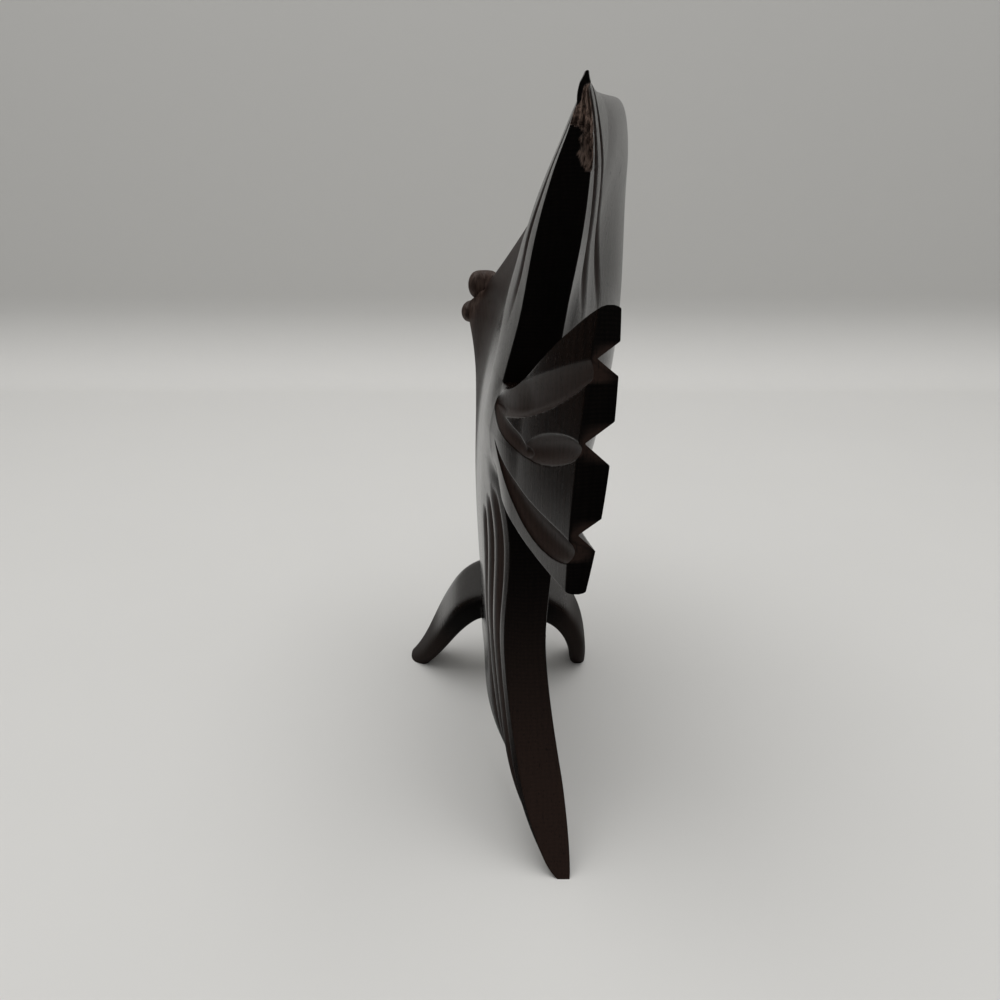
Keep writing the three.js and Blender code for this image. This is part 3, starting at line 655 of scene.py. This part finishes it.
def body_place(u, v):
    behind = (u < 0.5)[..., None]
    first, second = np.clip(2 * u, 0, 1), np.clip(2 * u - 1, 0, 1)
    top = np.where(behind, bezier(dorsal_root, first), bezier(forehead, second))
    bottom = np.where(behind, bezier(anal_root, first), bezier(throat, second))
    spot = lerp(bottom, top, v[..., None])
    return spot[..., 0], spot[..., 1]


def body_rim(u, v):
    return (u > 0.5) & ((v <= 0) | (v >= 1))


body_shares, body_rows = np.linspace(0, 1, BODY_COLUMNS), crowded(BODY_ROWS, -1, 1)
x, reach, level, marks = strip(body_place, swaying, body_shares, body_rows, 0, body_rim)
marks["cut"] = HEAD_CUT * smooth(reach, *HEAD_REACHES)
marks["sawn"] = HEAD_SAWN * smooth(reach, *HEAD_REACHES)
body = board("carved_body", world(x, reach, level), marks)
finish_mesh(body)
body.data.materials.append(dark_wood)
print("body", len(body.data.vertices), "points")

# %% [markdown]
# ## Lips and eye sockets
# The mouth is two thick lips with a slit between them. Each is a roll that bends round the snout, made
# as a tube of rings. Boolean modifiers join the lips to the body and cut the sockets of the eyes, which
# gives one closed skin as the carver's chisel does. The lips' paler tone is set after the join, which
# keeps no marks of theirs.

# %% Tube helper
def tube(name, rings, marks=None):
    """A closed tube from rings[ring, side, axis], with a point in the middle of each end."""
    count, sides = rings.shape[:2]
    number = np.arange(count * sides).reshape(count, sides)
    beside = np.roll(number, -1, 1)
    walls = quads(number[:-1], beside[:-1], beside[1:], number[1:]).tolist()
    first, last = count * sides, count * sides + 1
    ends = [[first, b, a] for a, b in zip(number[0].tolist(), beside[0].tolist())]
    ends += [[last, a, b] for a, b in zip(number[-1].tolist(), beside[-1].tolist())]
    points = rings.reshape(-1, 3).tolist() + [rings[0].mean(0).tolist(), rings[-1].mean(0).tolist()]
    mesh = bpy.data.meshes.new(name)
    mesh.from_pydata(points, [], walls + ends)
    for mark, values in (marks or {}).items():
        spread = np.broadcast_to(values, (count, sides))
        add_mark(mesh, mark, np.append(spread, [spread[0, 0], spread[-1, 0]]))
    piece = new_object(name, mesh)
    finish_mesh(piece)
    return piece


def boolean(piece, tool, operation):
    modifier = piece.modifiers.new(operation, "BOOLEAN")
    modifier.operation = operation
    modifier.solver = "EXACT"
    modifier.object = tool


# %% Lips
LIP_WIDTH, LIP_ROLL, LIP_TURN, MOUTH_GAP = 12.5, 3.1, 115, 1.4
UPPER_LIP_LENGTH, UPPER_LIP_DEPTH = 13.0, 10.0
LOWER_LIP_LENGTH, LOWER_LIP_DEPTH, LOWER_LIP_SHIFT = 15.0, 8.0, 2.4
LIP_RINGS, LIP_SIDES, LIP_END, LIP_BLUNTNESS = 49, 32, 0.02, 5


def lip(name, jut, rise, length, depth, shift_right=0):
    """A roll that bends round the snout, ahead of the mouth by its jut and above it by its rise."""
    reach, level = MOUTH_REACH + jut, MOUTH_LEVEL + rise
    turn = np.radians(np.linspace(-LIP_TURN, LIP_TURN, LIP_RINGS))[:, None]
    angle = np.linspace(0, 2 * np.pi, LIP_SIDES, endpoint=False)[None, :]
    taper = np.sqrt(np.clip(1 - (np.abs(turn) / turn.max()) ** LIP_BLUNTNESS, LIP_END, 1))
    out = LIP_ROLL * taper * np.cos(angle)
    sideways = (LIP_WIDTH / 2 - LIP_ROLL + out) * np.sin(turn)
    forward = (length / 2 - LIP_ROLL + out) * np.cos(turn)
    upward = depth / 2 * taper * np.sin(angle)
    middle = middle_x(reach, level) + shift_right
    return tube(name, world(middle + sideways, reach + forward, level + upward))


upper_lip = lip("upper_lip", -JAW_JUT / 2, (UPPER_LIP_DEPTH + MOUTH_GAP) / 2,
                UPPER_LIP_LENGTH, UPPER_LIP_DEPTH)
lower_lip = lip("lower_lip", JAW_JUT / 2, -(LOWER_LIP_DEPTH + MOUTH_GAP) / 2,
                LOWER_LIP_LENGTH, LOWER_LIP_DEPTH, LOWER_LIP_SHIFT)
print("lips of", len(upper_lip.data.vertices), "and", len(lower_lip.data.vertices), "points")

# %% Eyes and the tools for their sockets
EYE_REACH, EYE_LEVEL = 86.0, 140.0
EYE_RADIUS, EYE_DOME, EYE_SEAT, EYE_GAP = 3.75, 1.0, 3.2, 0.15
EYE_CHAMFER, EYE_BEAD, DOME_TURN, SOCKET_TOP = 0.3, 0.2, 1.5, 4.0
EYE_SIDES, DOME_RINGS = 48, 10


def flank(side, reach, level):
    """A place on the left or the right face of the body."""
    left, right, _ = halves(reach, level)
    x = middle_x(reach, level) + (right if side > 0 else -left)
    return Vector(world(x, reach, level))


def turned(name, side, profile):
    """A round piece that stands square to the flank, turned from radii and heights."""
    seat = flank(side, EYE_REACH, EYE_LEVEL)
    forward = flank(side, EYE_REACH + 1, EYE_LEVEL) - flank(side, EYE_REACH - 1, EYE_LEVEL)
    upward = flank(side, EYE_REACH, EYE_LEVEL + 1) - flank(side, EYE_REACH, EYE_LEVEL - 1)
    outward = (forward.cross(upward) * side).normalized()
    ahead = forward.normalized()
    angle = np.linspace(0, 2 * np.pi, EYE_SIDES, endpoint=False)
    ring = np.outer(np.cos(angle), ahead) + np.outer(np.sin(angle), outward.cross(ahead))
    rings = [np.array(seat) + MM * (radius * ring + rise * np.array(outward)) for radius, rise in profile]
    return tube(name, np.array(rings))


dome = [(EYE_RADIUS * math.cos(a), EYE_DOME * math.sin(a)) for a in np.linspace(0, DOME_TURN, DOME_RINGS)]
plug = [(EYE_RADIUS - EYE_CHAMFER, -EYE_SEAT), (EYE_RADIUS, EYE_CHAMFER - EYE_SEAT),
        (EYE_RADIUS, -EYE_BEAD), *dome]
hole = [(EYE_RADIUS + EYE_GAP, -EYE_SEAT - EYE_GAP), (EYE_RADIUS + EYE_GAP, SOCKET_TOP)]
eyes = {name: turned(f"{name}_inlaid", side, plug) for name, side in (("left_eye", -1), ("right_eye", 1))}
for eye in eyes.values():
    eye.data.materials.append(eye_wood)
sockets = [turned(f"socket_{side}", side, hole) for side in (-1, 1)]
print("eyes", list(eyes))

# %% Join the lips and cut the sockets
LIP_RAW, LIP_REACHES = 0.19, (MOUTH_REACH - 7, MOUTH_REACH - 3)
for tool in (upper_lip, lower_lip):
    boolean(body, tool, "UNION")
for tool in sockets:
    boolean(body, tool, "DIFFERENCE")
settle(body)
for tool in (upper_lip, lower_lip, *sockets):
    bpy.data.objects.remove(tool)
reach = (np.array([point.co.y for point in body.data.vertices]) - shift[1]) / MM
paler = LIP_RAW * smooth(reach, *LIP_REACHES)
body.data.attributes["raw"].data.foreach_set("value", paler.astype(np.float32))

# %% [markdown]
# ## The dorsal fin
# The dorsal fin sweeps back from the crest to a pointed tip and ends behind in a flat sawn wall. Its
# upper corner has broken off on the right, which leaves a step and torn fibres. The break pushes the
# wall forward by a ragged depth, and grooves are then cut into both faces along the trailing edge.

# %% Fin helper
FIN_LENGTH, ARRIS = 86.0, 0.35
FINE_SHARE, FINE_COLUMNS, COARSE_COLUMNS, FIN_ROWS = 0.3, 72, 52, 130
# Painted light: the rear walls turn paler and rougher towards the bottom, where more light falls.
LOW_WALL_LIGHT, LOW_WALL_LIGHT_LEVELS, JOINT_FADE = 0.3, (15, 75), 4
fine_shares = np.linspace(0, FINE_SHARE, FINE_COLUMNS)
fin_shares = np.concatenate([fine_shares, np.linspace(FINE_SHARE, 1, COARSE_COLUMNS)[1:]])
fin_rows = crowded(FIN_ROWS, 0, 1)


def fin(name, root, rim, trailing_line, faces, wall, meets, spread, recess=None):
    """A fin from its root to its rim, whose points know how far they are from the trailing edge."""
    place = patch(root, rim, trailing_line, [rim[-1], rim[-1]])
    x, reach, level, marks = strip(
        place, faces, fin_shares, fin_rows, wall, meets, ARRIS, FIN_LENGTH, recess)
    # Painted light: the lower rear wall gets the paler, rougher cut tone, for more light falling there.
    marks["cut"] = LOW_WALL_LIGHT * marks["sawn"] * (1 - smooth(level, *LOW_WALL_LIGHT_LEVELS))
    marks["from_edge"] = distance_to(drawn([trailing_line]), reach, level) / spread(level) * MM
    off_joint = smooth(distance_to(drawn([root]), reach, level), 0, JOINT_FADE)
    for face in ("left_share", "right_share"):
        marks[face] = marks[face] * off_joint
    return board(name, world(x, reach, level), marks)


# %% Faces of the dorsal fin
BLUNT_RUN, BLUNT_SHARE = (3, 14), 0.17
BLUNT_LEAST, BLUNT_RISE, BLUNT_DEPTHS = 0.3, 2.9, (0.8, 3.5)
TIP_PULL, TIP_PULL_RUN = 1.1, 16
GROOVE_SPREADS, SPREAD_LEVELS = (1.9, 0.75), (125, 190)


def dorsal_rim(u, v):
    return (v >= 1) & (u > BLUNT_SHARE)


def dorsal_faces(u, v, reach, level):
    """The swaying faces, but blunt at the tip and pulled a little to the left there."""
    left, right, rounding = halves(reach, level)
    from_tip = from_dorsal_tip(reach, level)
    pointed = lerp(BLUNT_LEAST, 1, np.minimum(1, from_tip / BLUNT_RISE))
    blunt = (1 - smooth(from_tip, *BLUNT_RUN)) * pointed
    blunt = blunt * (1 - smooth(u * FIN_LENGTH, *BLUNT_DEPTHS))
    stout = np.maximum(rounding, blunt) / np.maximum(rounding, TINY)
    middle = middle_x(reach, level) - TIP_PULL * (1 - smooth(from_tip, 0, TIP_PULL_RUN))
    return middle, left * stout, right * stout, rounding


def dorsal_spread(level):
    """The grooves lie wider apart near the root and closer together near the tip."""
    return lerp(*GROOVE_SPREADS, smooth(level, *SPREAD_LEVELS))


# %% Broken corner of the dorsal fin
# At each level the break starts at a place across the wall. SOUND lies past the wall, so no break.
SOUND = 2.0
BREAK = [(165.0, 0.72), (166.5, 0.4), (168.3, 0.05), (170.0, 0.25), (171.3, -0.05), (172.6, 0.3),
         (173.6, -0.2), (174.4, -1.4), (177.0, -1.1), (178.0, -0.5), (181.0, -0.1), (181.6, 1.4)]
TEAR_ACROSS, TEAR_UP, TEAR_SEED = 2.2, 0.16, 3.0
TEAR_FRACTAL = (0.7, 2.2, 5)
TEAR_DEPTH, TEAR_SLOPE, TEAR_SLOPE_RUN, TEAR_RAGGED = 1.3, 2.2, (0.1, 1.2), 1.6
TEAR_LEAST, TEAR_EDGE = 0.4, 0.12
DORSAL_WALL = 40


def torn(across, level):
    """Depth of the break in millimetres: nothing on the sound wall, ragged along the fibres beyond it."""
    border = np.interp(level, *zip(*BREAK), left=SOUND, right=SOUND)
    spots = [Vector((a * TEAR_ACROSS, z * TEAR_UP, TEAR_SEED))
             for a, z in zip(across.ravel(), level.ravel())]
    ragged = np.array([noise.fractal(spot, *TEAR_FRACTAL) for spot in spots]).reshape(across.shape)
    inside = across - border + TEAR_EDGE * ragged
    depth = TEAR_DEPTH + TEAR_SLOPE * smooth(inside, *TEAR_SLOPE_RUN) + TEAR_RAGGED * ragged
    return np.where(border < SOUND, smooth(inside, 0, TEAR_EDGE) * np.maximum(TEAR_LEAST, depth), 0)


dorsal_fin = fin("carved_dorsal_fin", dorsal_root, top_edge, dorsal_trailing, dorsal_faces,
                 DORSAL_WALL, dorsal_rim, dorsal_spread, torn)

# %% Grooves of the dorsal fin
DORSAL_GROOVES = {"First": 0.0050, "Spacing": 0.0060, "Width": 0.0034, "Full Height": 0.150,
                  "Gone Height": 0.126, "Material": dark_wood}
carve(dorsal_fin, grooves, {**DORSAL_GROOVES, "Count": 1.0, "Face": "left_share", "Depth": 0.0010})
carve(dorsal_fin, grooves, {**DORSAL_GROOVES, "Count": 2.0, "Face": "right_share", "Depth": -0.0009})
settle(dorsal_fin)

# %% [markdown]
# ## The anal fin
# The anal fin hangs under the tail and touches the table with its worn tip, so it is made like the
# dorsal fin and then cut off level with the table. Three grooves are cut into each of its faces, and
# they die out towards the tail.

# %% Table cut
def rest_on_table(piece):
    """Everything below the table is cut away and the cut is closed with a flat face."""
    work = bmesh.new()
    work.from_mesh(piece.data)
    parts = [*work.verts, *work.edges, *work.faces]
    cut = bmesh.ops.bisect_plane(work, geom=parts, plane_co=(0, 0, 0), plane_no=(0, 0, 1), clear_inner=True)
    rim = [part for part in cut["geom_cut"] if isinstance(part, bmesh.types.BMEdge)]
    bmesh.ops.contextual_create(work, geom=rim)
    work.to_mesh(piece.data)
    work.free()
    finish_mesh(piece)


# %% Anal fin
ANAL_WALL = 16
TIP_WEAR_LEVEL = 4
ANAL_GROOVES = {"First": 0.0055, "Spacing": 0.0075, "Count": 3.0, "Width": 0.0070, "Full Height": 0.080,
                "Gone Height": 0.098, "Material": dark_wood}


def anal_rim(u, v):
    return v >= 1


def worn_faces(u, v, reach, level):
    """The swaying faces, rounded off on the left where the tip meets the table."""
    middle, left, right, rounding = swaying(u, v, reach, level)
    worn = 0.5 + 0.5 * rounded(np.maximum(0, level), TIP_WEAR_LEVEL)
    return middle, left * worn, right, rounding


def even_spread(level):
    return 1.0


anal_fin = fin("carved_anal_fin", anal_root, bottom_edge, anal_trailing, worn_faces,
               ANAL_WALL, anal_rim, even_spread)
carve(anal_fin, grooves, {**ANAL_GROOVES, "Face": "left_share", "Depth": 0.0013})
carve(anal_fin, grooves, {**ANAL_GROOVES, "Face": "right_share", "Depth": -0.0013})
settle(anal_fin)
rest_on_table(anal_fin)

# %% [markdown]
# ## The tail
# The tail is a fan that curls to the right. On its left face the carver cut leaf-shaped scoops
# between smooth ridges, and on its right face three deep V notches that divide its end into four
# lobes. Each stroke is one use of the gouge tree, placed by its start and its end in the side view.

# %% Side view of the tail
TAIL_LENGTH, TAIL_END_LEVEL, TAIL_SPREAD = 41.0, 110.0, 62.0
TAIL_END_BOW, TAIL_BOTTOM_BOW = 3, -1.5
TAIL_TOP_TURN, TAIL_NECK_TURN = np.array([13, -9]), np.array([-18, -1.5])
tail_top = np.array([-TAIL_LENGTH, TAIL_END_LEVEL + TAIL_SPREAD / 2])
tail_bottom = np.array([-TAIL_LENGTH, TAIL_END_LEVEL - TAIL_SPREAD / 2])
tail_end = bowed(tail_bottom, tail_top, TAIL_END_BOW)
tail_bottom_edge = bowed(tail_bottom, root_bottom, TAIL_BOTTOM_BOW)
tail_top_edge = [tail_top, tail_top + TAIL_TOP_TURN, root_top + TAIL_NECK_TURN, root_top]
tail_place = patch(tail_bottom_edge, tail_top_edge, tail_end, [root_bottom, root_top])
print("tail from", tail_bottom, "to", tail_top)

# %% Tail fan
TAIL_CURL, TAIL_CURL_POWER, TAIL_LEAN, CURL_START = 12.9, 1.3, 0.085, 0.45
END_THICKNESSES = (6.9, 4.3)
TAIL_ROUNDING, TAIL_LEAST, TAIL_ROUND_START = 0.7, 0.4, 0.2
TAIL_ARRIS, TAIL_RUN, TAIL_WALL = 0.2, 43.0, 16
TAIL_COLUMNS, TAIL_ROWS = 140, 220


def tail_faces(u, v, reach, level):
    outward = 1 - u
    curled = SIDE_SHIFT + TAIL_CURL * outward ** TAIL_CURL_POWER + TAIL_LEAN * (level - ROOT_LEVEL)
    middle = lerp(middle_x(reach, level), curled, smooth(outward, 0, CURL_START))
    left, right, _ = halves(reach, level)
    end_half = lerp(*END_THICKNESSES, (2 * v - 1) ** 2) / 2
    edge = np.minimum(v, 1 - v) * lerp(ROOT_DEPTH, TAIL_SPREAD, outward)
    rounding = np.maximum(TAIL_LEAST, rounded(edge, TAIL_ROUNDING))
    rounding = lerp(1, rounding, smooth(outward, 0, TAIL_ROUND_START))
    left, right = (lerp(half, end_half, outward) * rounding for half in (left, right))
    return middle, left, right, rounding


def no_rim(u, v):
    return np.zeros(np.shape(u), bool)


tail_shares, tail_rows = np.linspace(0, 1, TAIL_COLUMNS), np.linspace(0, 1, TAIL_ROWS)
x, reach, level, marks = strip(
    tail_place, tail_faces, tail_shares, tail_rows, TAIL_WALL, no_rim, TAIL_ARRIS, TAIL_RUN)
tail_fin = board("carved_tail_fin", world(x, reach, level), marks)


# %% Strokes of the tail
def tail_spot(along, across):
    """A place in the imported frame, from shares along the tail and across it, beyond its end too."""
    reach, level = tail_place(np.array(1 - along), np.array(across))
    return Vector(world(0, reach, level))


def stroke(tool, start, end, past=1.0, **sizes):
    """A stroke between two places of the tail, run on past its end by a factor."""
    start, end = tail_spot(*start), tail_spot(*end)
    return {**tool, "Start": start, "End": start.lerp(end, past), **sizes}


STRAIGHT = {"Soft": 0.0, "Bow": 0.0, "Skew": 1.0, "Material": dark_wood}
SCOOP = {**STRAIGHT, "Power": 2.0, "Face": "left_share"}
NOTCH = {**STRAIGHT, "Power": 1.0, "Face": "right_share"}
STROKES = [
    stroke(SCOOP, (0.0, 0.80), (1.0, 0.81), 1.08, Power=3.0, Soft=0.6, Bow=-0.0024,
           Width=0.0088, Depth=0.0019),
    stroke(SCOOP, (0.0, 0.78), (0.57, 0.505), Skew=1.1, Width=0.0044, Depth=0.0012),
    stroke(SCOOP, (0.50, 0.54), (1.0, 0.54), 1.05, Width=0.0070, Depth=0.0019),
    stroke(SCOOP, (0.1, 0.53), (1.0, 0.187), 1.08, Bow=-0.0052, Skew=2.0, Width=0.0086, Depth=0.0022),
    stroke(NOTCH, (0.1, 0.78), (1.0, 0.835), 1.9, Width=0.0064, Depth=-0.0044),
    stroke(NOTCH, (0.1, 0.60), (1.0, 0.56), 1.9, Width=0.0090, Depth=-0.0056),
    stroke(NOTCH, (0.1, 0.37), (1.0, 0.235), 1.9, Width=0.0076, Depth=-0.0043),
]
for sizes in STROKES:
    carve(tail_fin, gouge, sizes)
settle(tail_fin)

# %% [markdown]
# ## The pelvic fins
# Two bent fins carry the fish in front. Each runs out of the belly with a squared section that gets
# rounder on its way, turns down and ends in a worn flat on the table. The polish is worn off towards
# the foot. On the right fin the dull finish starts higher up, and that part is painted shade, for the
# fin mirroring floor that lies in the fish's shadow. A curve with a bevel can't change its section
# like this, so the rings are placed and then cut by the body, the anal fin and the table.

# %% Sizes of the pelvic fins
PELVIC_REACH, PELVIC_LEVEL, PELVIC_RAKE, ANKLE_LEVEL = 65.0, 32.0, 13.0, 10.0
PELVIC_PITCH = math.radians(8)
PELVIC_CHORDS, CHORD_POWER = (26, 11), 1.5
PELVIC_THICKNESSES, PELVIC_SQUARENESSES = (9.5, 5), (7, 2.4)
SWAY_SHARE, REAR_SHARES = 0.4, (0.85, 0.97)
WEAR_AND_SHADE_RUN, WEAR_AND_SHADE_CUT = 0.3, 0.2
PELVIC_RINGS, PELVIC_SIDES = 60, 56
pelvic_middle = middle_x(PELVIC_REACH, PELVIC_LEVEL)


# %% Pelvic fins
def shouldered(wave, squareness):
    """Turns an ellipse into a section with squarer shoulders."""
    return np.sign(wave) * np.abs(wave) ** (2 / squareness)


def pelvic_fin(name, side, knee, ankle, foot, wear_and_shade_from):
    """A leg bent at its knee and its ankle, which are given by how far they stand out."""
    share = np.linspace(0, 1, PELVIC_RINGS)
    route = [(0, PELVIC_LEVEL), (knee, PELVIC_LEVEL), (ankle, ANKLE_LEVEL), (foot, -FOOT_WEAR)]
    middle = bezier(route, share)
    along = np.gradient(middle, axis=0)
    along /= np.linalg.norm(along, axis=1)[:, None]
    angle = np.linspace(0, 2 * np.pi, PELVIC_SIDES, endpoint=False)[None, :]
    share = share[:, None]
    pitch = PELVIC_PITCH * (1 - share)
    squareness = lerp(*PELVIC_SQUARENESSES, share)
    fore_wave, up_wave = (shouldered(wave, squareness) for wave in (np.cos(angle), np.sin(angle)))
    fore = lerp(*PELVIC_CHORDS, share ** CHORD_POWER) / 2 * fore_wave
    up = lerp(*PELVIC_THICKNESSES, share) / 2 * up_wave
    forward = PELVIC_RAKE * share ** 2 + fore * np.cos(pitch) - up * np.sin(pitch)
    lift = fore * np.sin(pitch) + up * np.cos(pitch)
    out = middle[:, :1] - along[:, 1:] * lift
    reach, level = PELVIC_REACH + forward, middle[:, 1:] + along[:, :1] * lift
    inner = lerp(middle_x(reach, level), pelvic_middle, smooth(share, 0, SWAY_SHARE))
    rear = smooth(-fore_wave, *REAR_SHARES)
    # Wear near the foot; where it starts higher up, on the right fin, the dull finish is painted shade.
    worn = smooth(share, wear_and_shade_from, wear_and_shade_from + WEAR_AND_SHADE_RUN)
    marks = {"sawn": np.maximum(rear, worn), "raw": 0.0, "cut": WEAR_AND_SHADE_CUT * worn}
    piece = tube(name, world(inner + side * out, reach, level), marks)
    piece.data.materials.append(dark_wood)
    for neighbour in (body, anal_fin):
        boolean(piece, neighbour, "DIFFERENCE")
    settle(piece)
    rest_on_table(piece)
    return piece


left_pelvic_fin = pelvic_fin(
    "carved_left_pelvic_fin", -1, knee=17.6, ankle=18.8, foot=31.0, wear_and_shade_from=0.4)
# The right fin's earlier start of the dull finish is painted shade, not wear.
right_pelvic_fin = pelvic_fin(
    "carved_right_pelvic_fin", 1, knee=24.5, ankle=25.6, foot=26.2, wear_and_shade_from=0.22)

# %% [markdown]
# ## Which piece stands for which solid
# The carved pieces replace the plain solids. The dowels and the pin inside the joints keep their CAD
# shape, which is right as it is, and only get the raw wood finish.

# %% Join the pieces to the frame
carved = {"body": body, "dorsal_fin": dorsal_fin, "anal_fin": anal_fin, "tail_fin": tail_fin,
          "left_pelvic_fin": left_pelvic_fin, "right_pelvic_fin": right_pelvic_fin, **eyes}
for node, piece in carved.items():
    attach(piece, "root")
    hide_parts(node)
for node, solid in frame["nodes"].items():
    if node not in carved:
        for slot in solid.material_slots:
            slot.material = dowel_wood
print("pieces", list(carved))

# %% [markdown]
# ## The studio
# The fish stands on a pale sheet that turns up behind it into a wall. The wall's darker tone is painted
# shade, for the upright wall getting less light than the floor. One large lamp hangs over it, and a soft
# light comes from all round. The polish would mirror that light everywhere, so the room is hidden from
# mirrors, and painted shade makes the sheet dark in them beside and in front of the fish, where the
# room round the camera lies in shade. So walls that face the camera stay nearly black, while faces
# seen at a glancing angle mirror the wall.

# %% Paper finish
MOTTLE_WAVES, MOTTLE, WALL_SHADE_RISE = (14, 14, 14), 0.1, 0.05
# Where mirrors see painted shade on the sheet, beside and in front of the fish, and its colour.
LIT_SIDES, LIT_FRONT = (0.06, 0.26), (-0.05, 0.05)
LIT_SPREAD, LIT_FROM = 0.8, 0.1
MIRRORED_SHADE_COLOUR = (0.03, 0.03, 0.03, 1)


def paper_finish(name, floor, wall):
    material, tree = new_material(name)
    mottle = stretched_noise(tree, MOTTLE_WAVES, 2)
    aside, behind, height = axes(object_place(tree))
    # The floor tone turns into the wall's darker tone, which is painted shade for the wall's lesser light.
    tone = blend_colours(tree, (height / WALL_SHADE_RISE + MOTTLE * mottle).within(0, 1), floor, wall)
    # Painted shade for mirrors only: the sheet turns dark beside and in front of the fish.
    widening = (LIT_SPREAD * (behind - LIT_FROM)).within(0, 1)
    beside = (abs(aside) - widening).ramp(*LIT_SIDES)
    shade_in_front = 1 - behind.ramp(*LIT_FRONT)
    mirrored = add_node(tree, "ShaderNodeLightPath", output="Is Glossy Ray")
    shown = blend_colours(tree, mirrored * beside.most(shade_in_front), tone, MIRRORED_SHADE_COLOUR)
    shader = add_node(tree, "ShaderNodeBsdfPrincipled", sockets={"Base Color": shown, "Roughness": 0.8})
    add_node(tree, "ShaderNodeOutputMaterial", sockets={"Surface": shader})
    return material


# The second colour, of the wall, is darker as painted shade.
pale_paper = paper_finish("pale paper", (0.67, 0.662, 0.645, 1), (0.5, 0.495, 0.482, 1))

# %% Floor and wall
SWEEP_WIDTH, FRONT, SEAM, COVE, TOP = 3.0, -1.2, 0.47, 0.06, 1.3
COVE_POINTS = 24
turn = np.linspace(0, np.pi / 2, COVE_POINTS)
bend = zip(SEAM - COVE + COVE * np.sin(turn), COVE - COVE * np.cos(turn))
profile = [(FRONT, 0.0), *bend, (SEAM, TOP)]
points = [(side * SWEEP_WIDTH / 2, y, z) for y, z in profile for side in (-1, 1)]
sheet = bpy.data.meshes.new("paper_sweep")
sheet.from_pydata(points, [], [(i, i + 1, i + 3, i + 2) for i in range(0, len(points) - 2, 2)])
sheet.shade_smooth()
sheet.materials.append(pale_paper)
piece = new_object("paper_sweep", sheet)
print("paper sweep of", len(sheet.polygons), "faces")

# %% Lights
ROOM_TINT, ROOM_LIGHT, ROOM_SEEN_LESS = (1, 1, 0.985, 1), 0.5, 0.07
LAMP_HEIGHT, LAMP_WIDTH, LAMP_LENGTH, LAMP_POWER = 1.1, 1.3, 1.1, 9
light = bpy.data.lights.new("overhead", "AREA")
light.shape = "RECTANGLE"
light.size, light.size_y = LAMP_WIDTH, LAMP_LENGTH
light.energy = LAMP_POWER
new_object("overhead", light).location.z = LAMP_HEIGHT
room = bpy.data.worlds.new("dim room")
room.use_nodes = True
room.node_tree.nodes.clear()
seen = add_node(room.node_tree, "ShaderNodeLightPath", output="Is Camera Ray")
glow = add_node(room.node_tree, "ShaderNodeBackground", sockets={
    "Color": ROOM_TINT, "Strength": ROOM_LIGHT - ROOM_SEEN_LESS * seen})
add_node(room.node_tree, "ShaderNodeOutputWorld", sockets={"Surface": glow})
bpy.context.scene.world = room
room.cycles_visibility.glossy = False
print("light from", light.name, "and", room.name)

# %% [markdown]
# ## The camera
# The photograph was taken from straight behind the tail, about 24 cm behind its root and nearly as
# high as the top of the fish, looking down by 20 degrees.

# %% Camera
CAMERA_BACK, CAMERA_HEIGHT, CAMERA_TILT = 0.237, 0.172, math.radians(70)
lens = bpy.data.cameras.new("camera")
lens.sensor_width = 36
lens.lens = 36.1
camera = new_object("camera", lens)
camera.location = (shift[0], shift[1] - CAMERA_BACK, CAMERA_HEIGHT)
camera.rotation_euler = (CAMERA_TILT, 0, 0)
bpy.context.scene.camera = camera
bpy.context.scene.view_settings.view_transform = "Standard"
print("camera at", [round(value, 3) for value in camera.location])
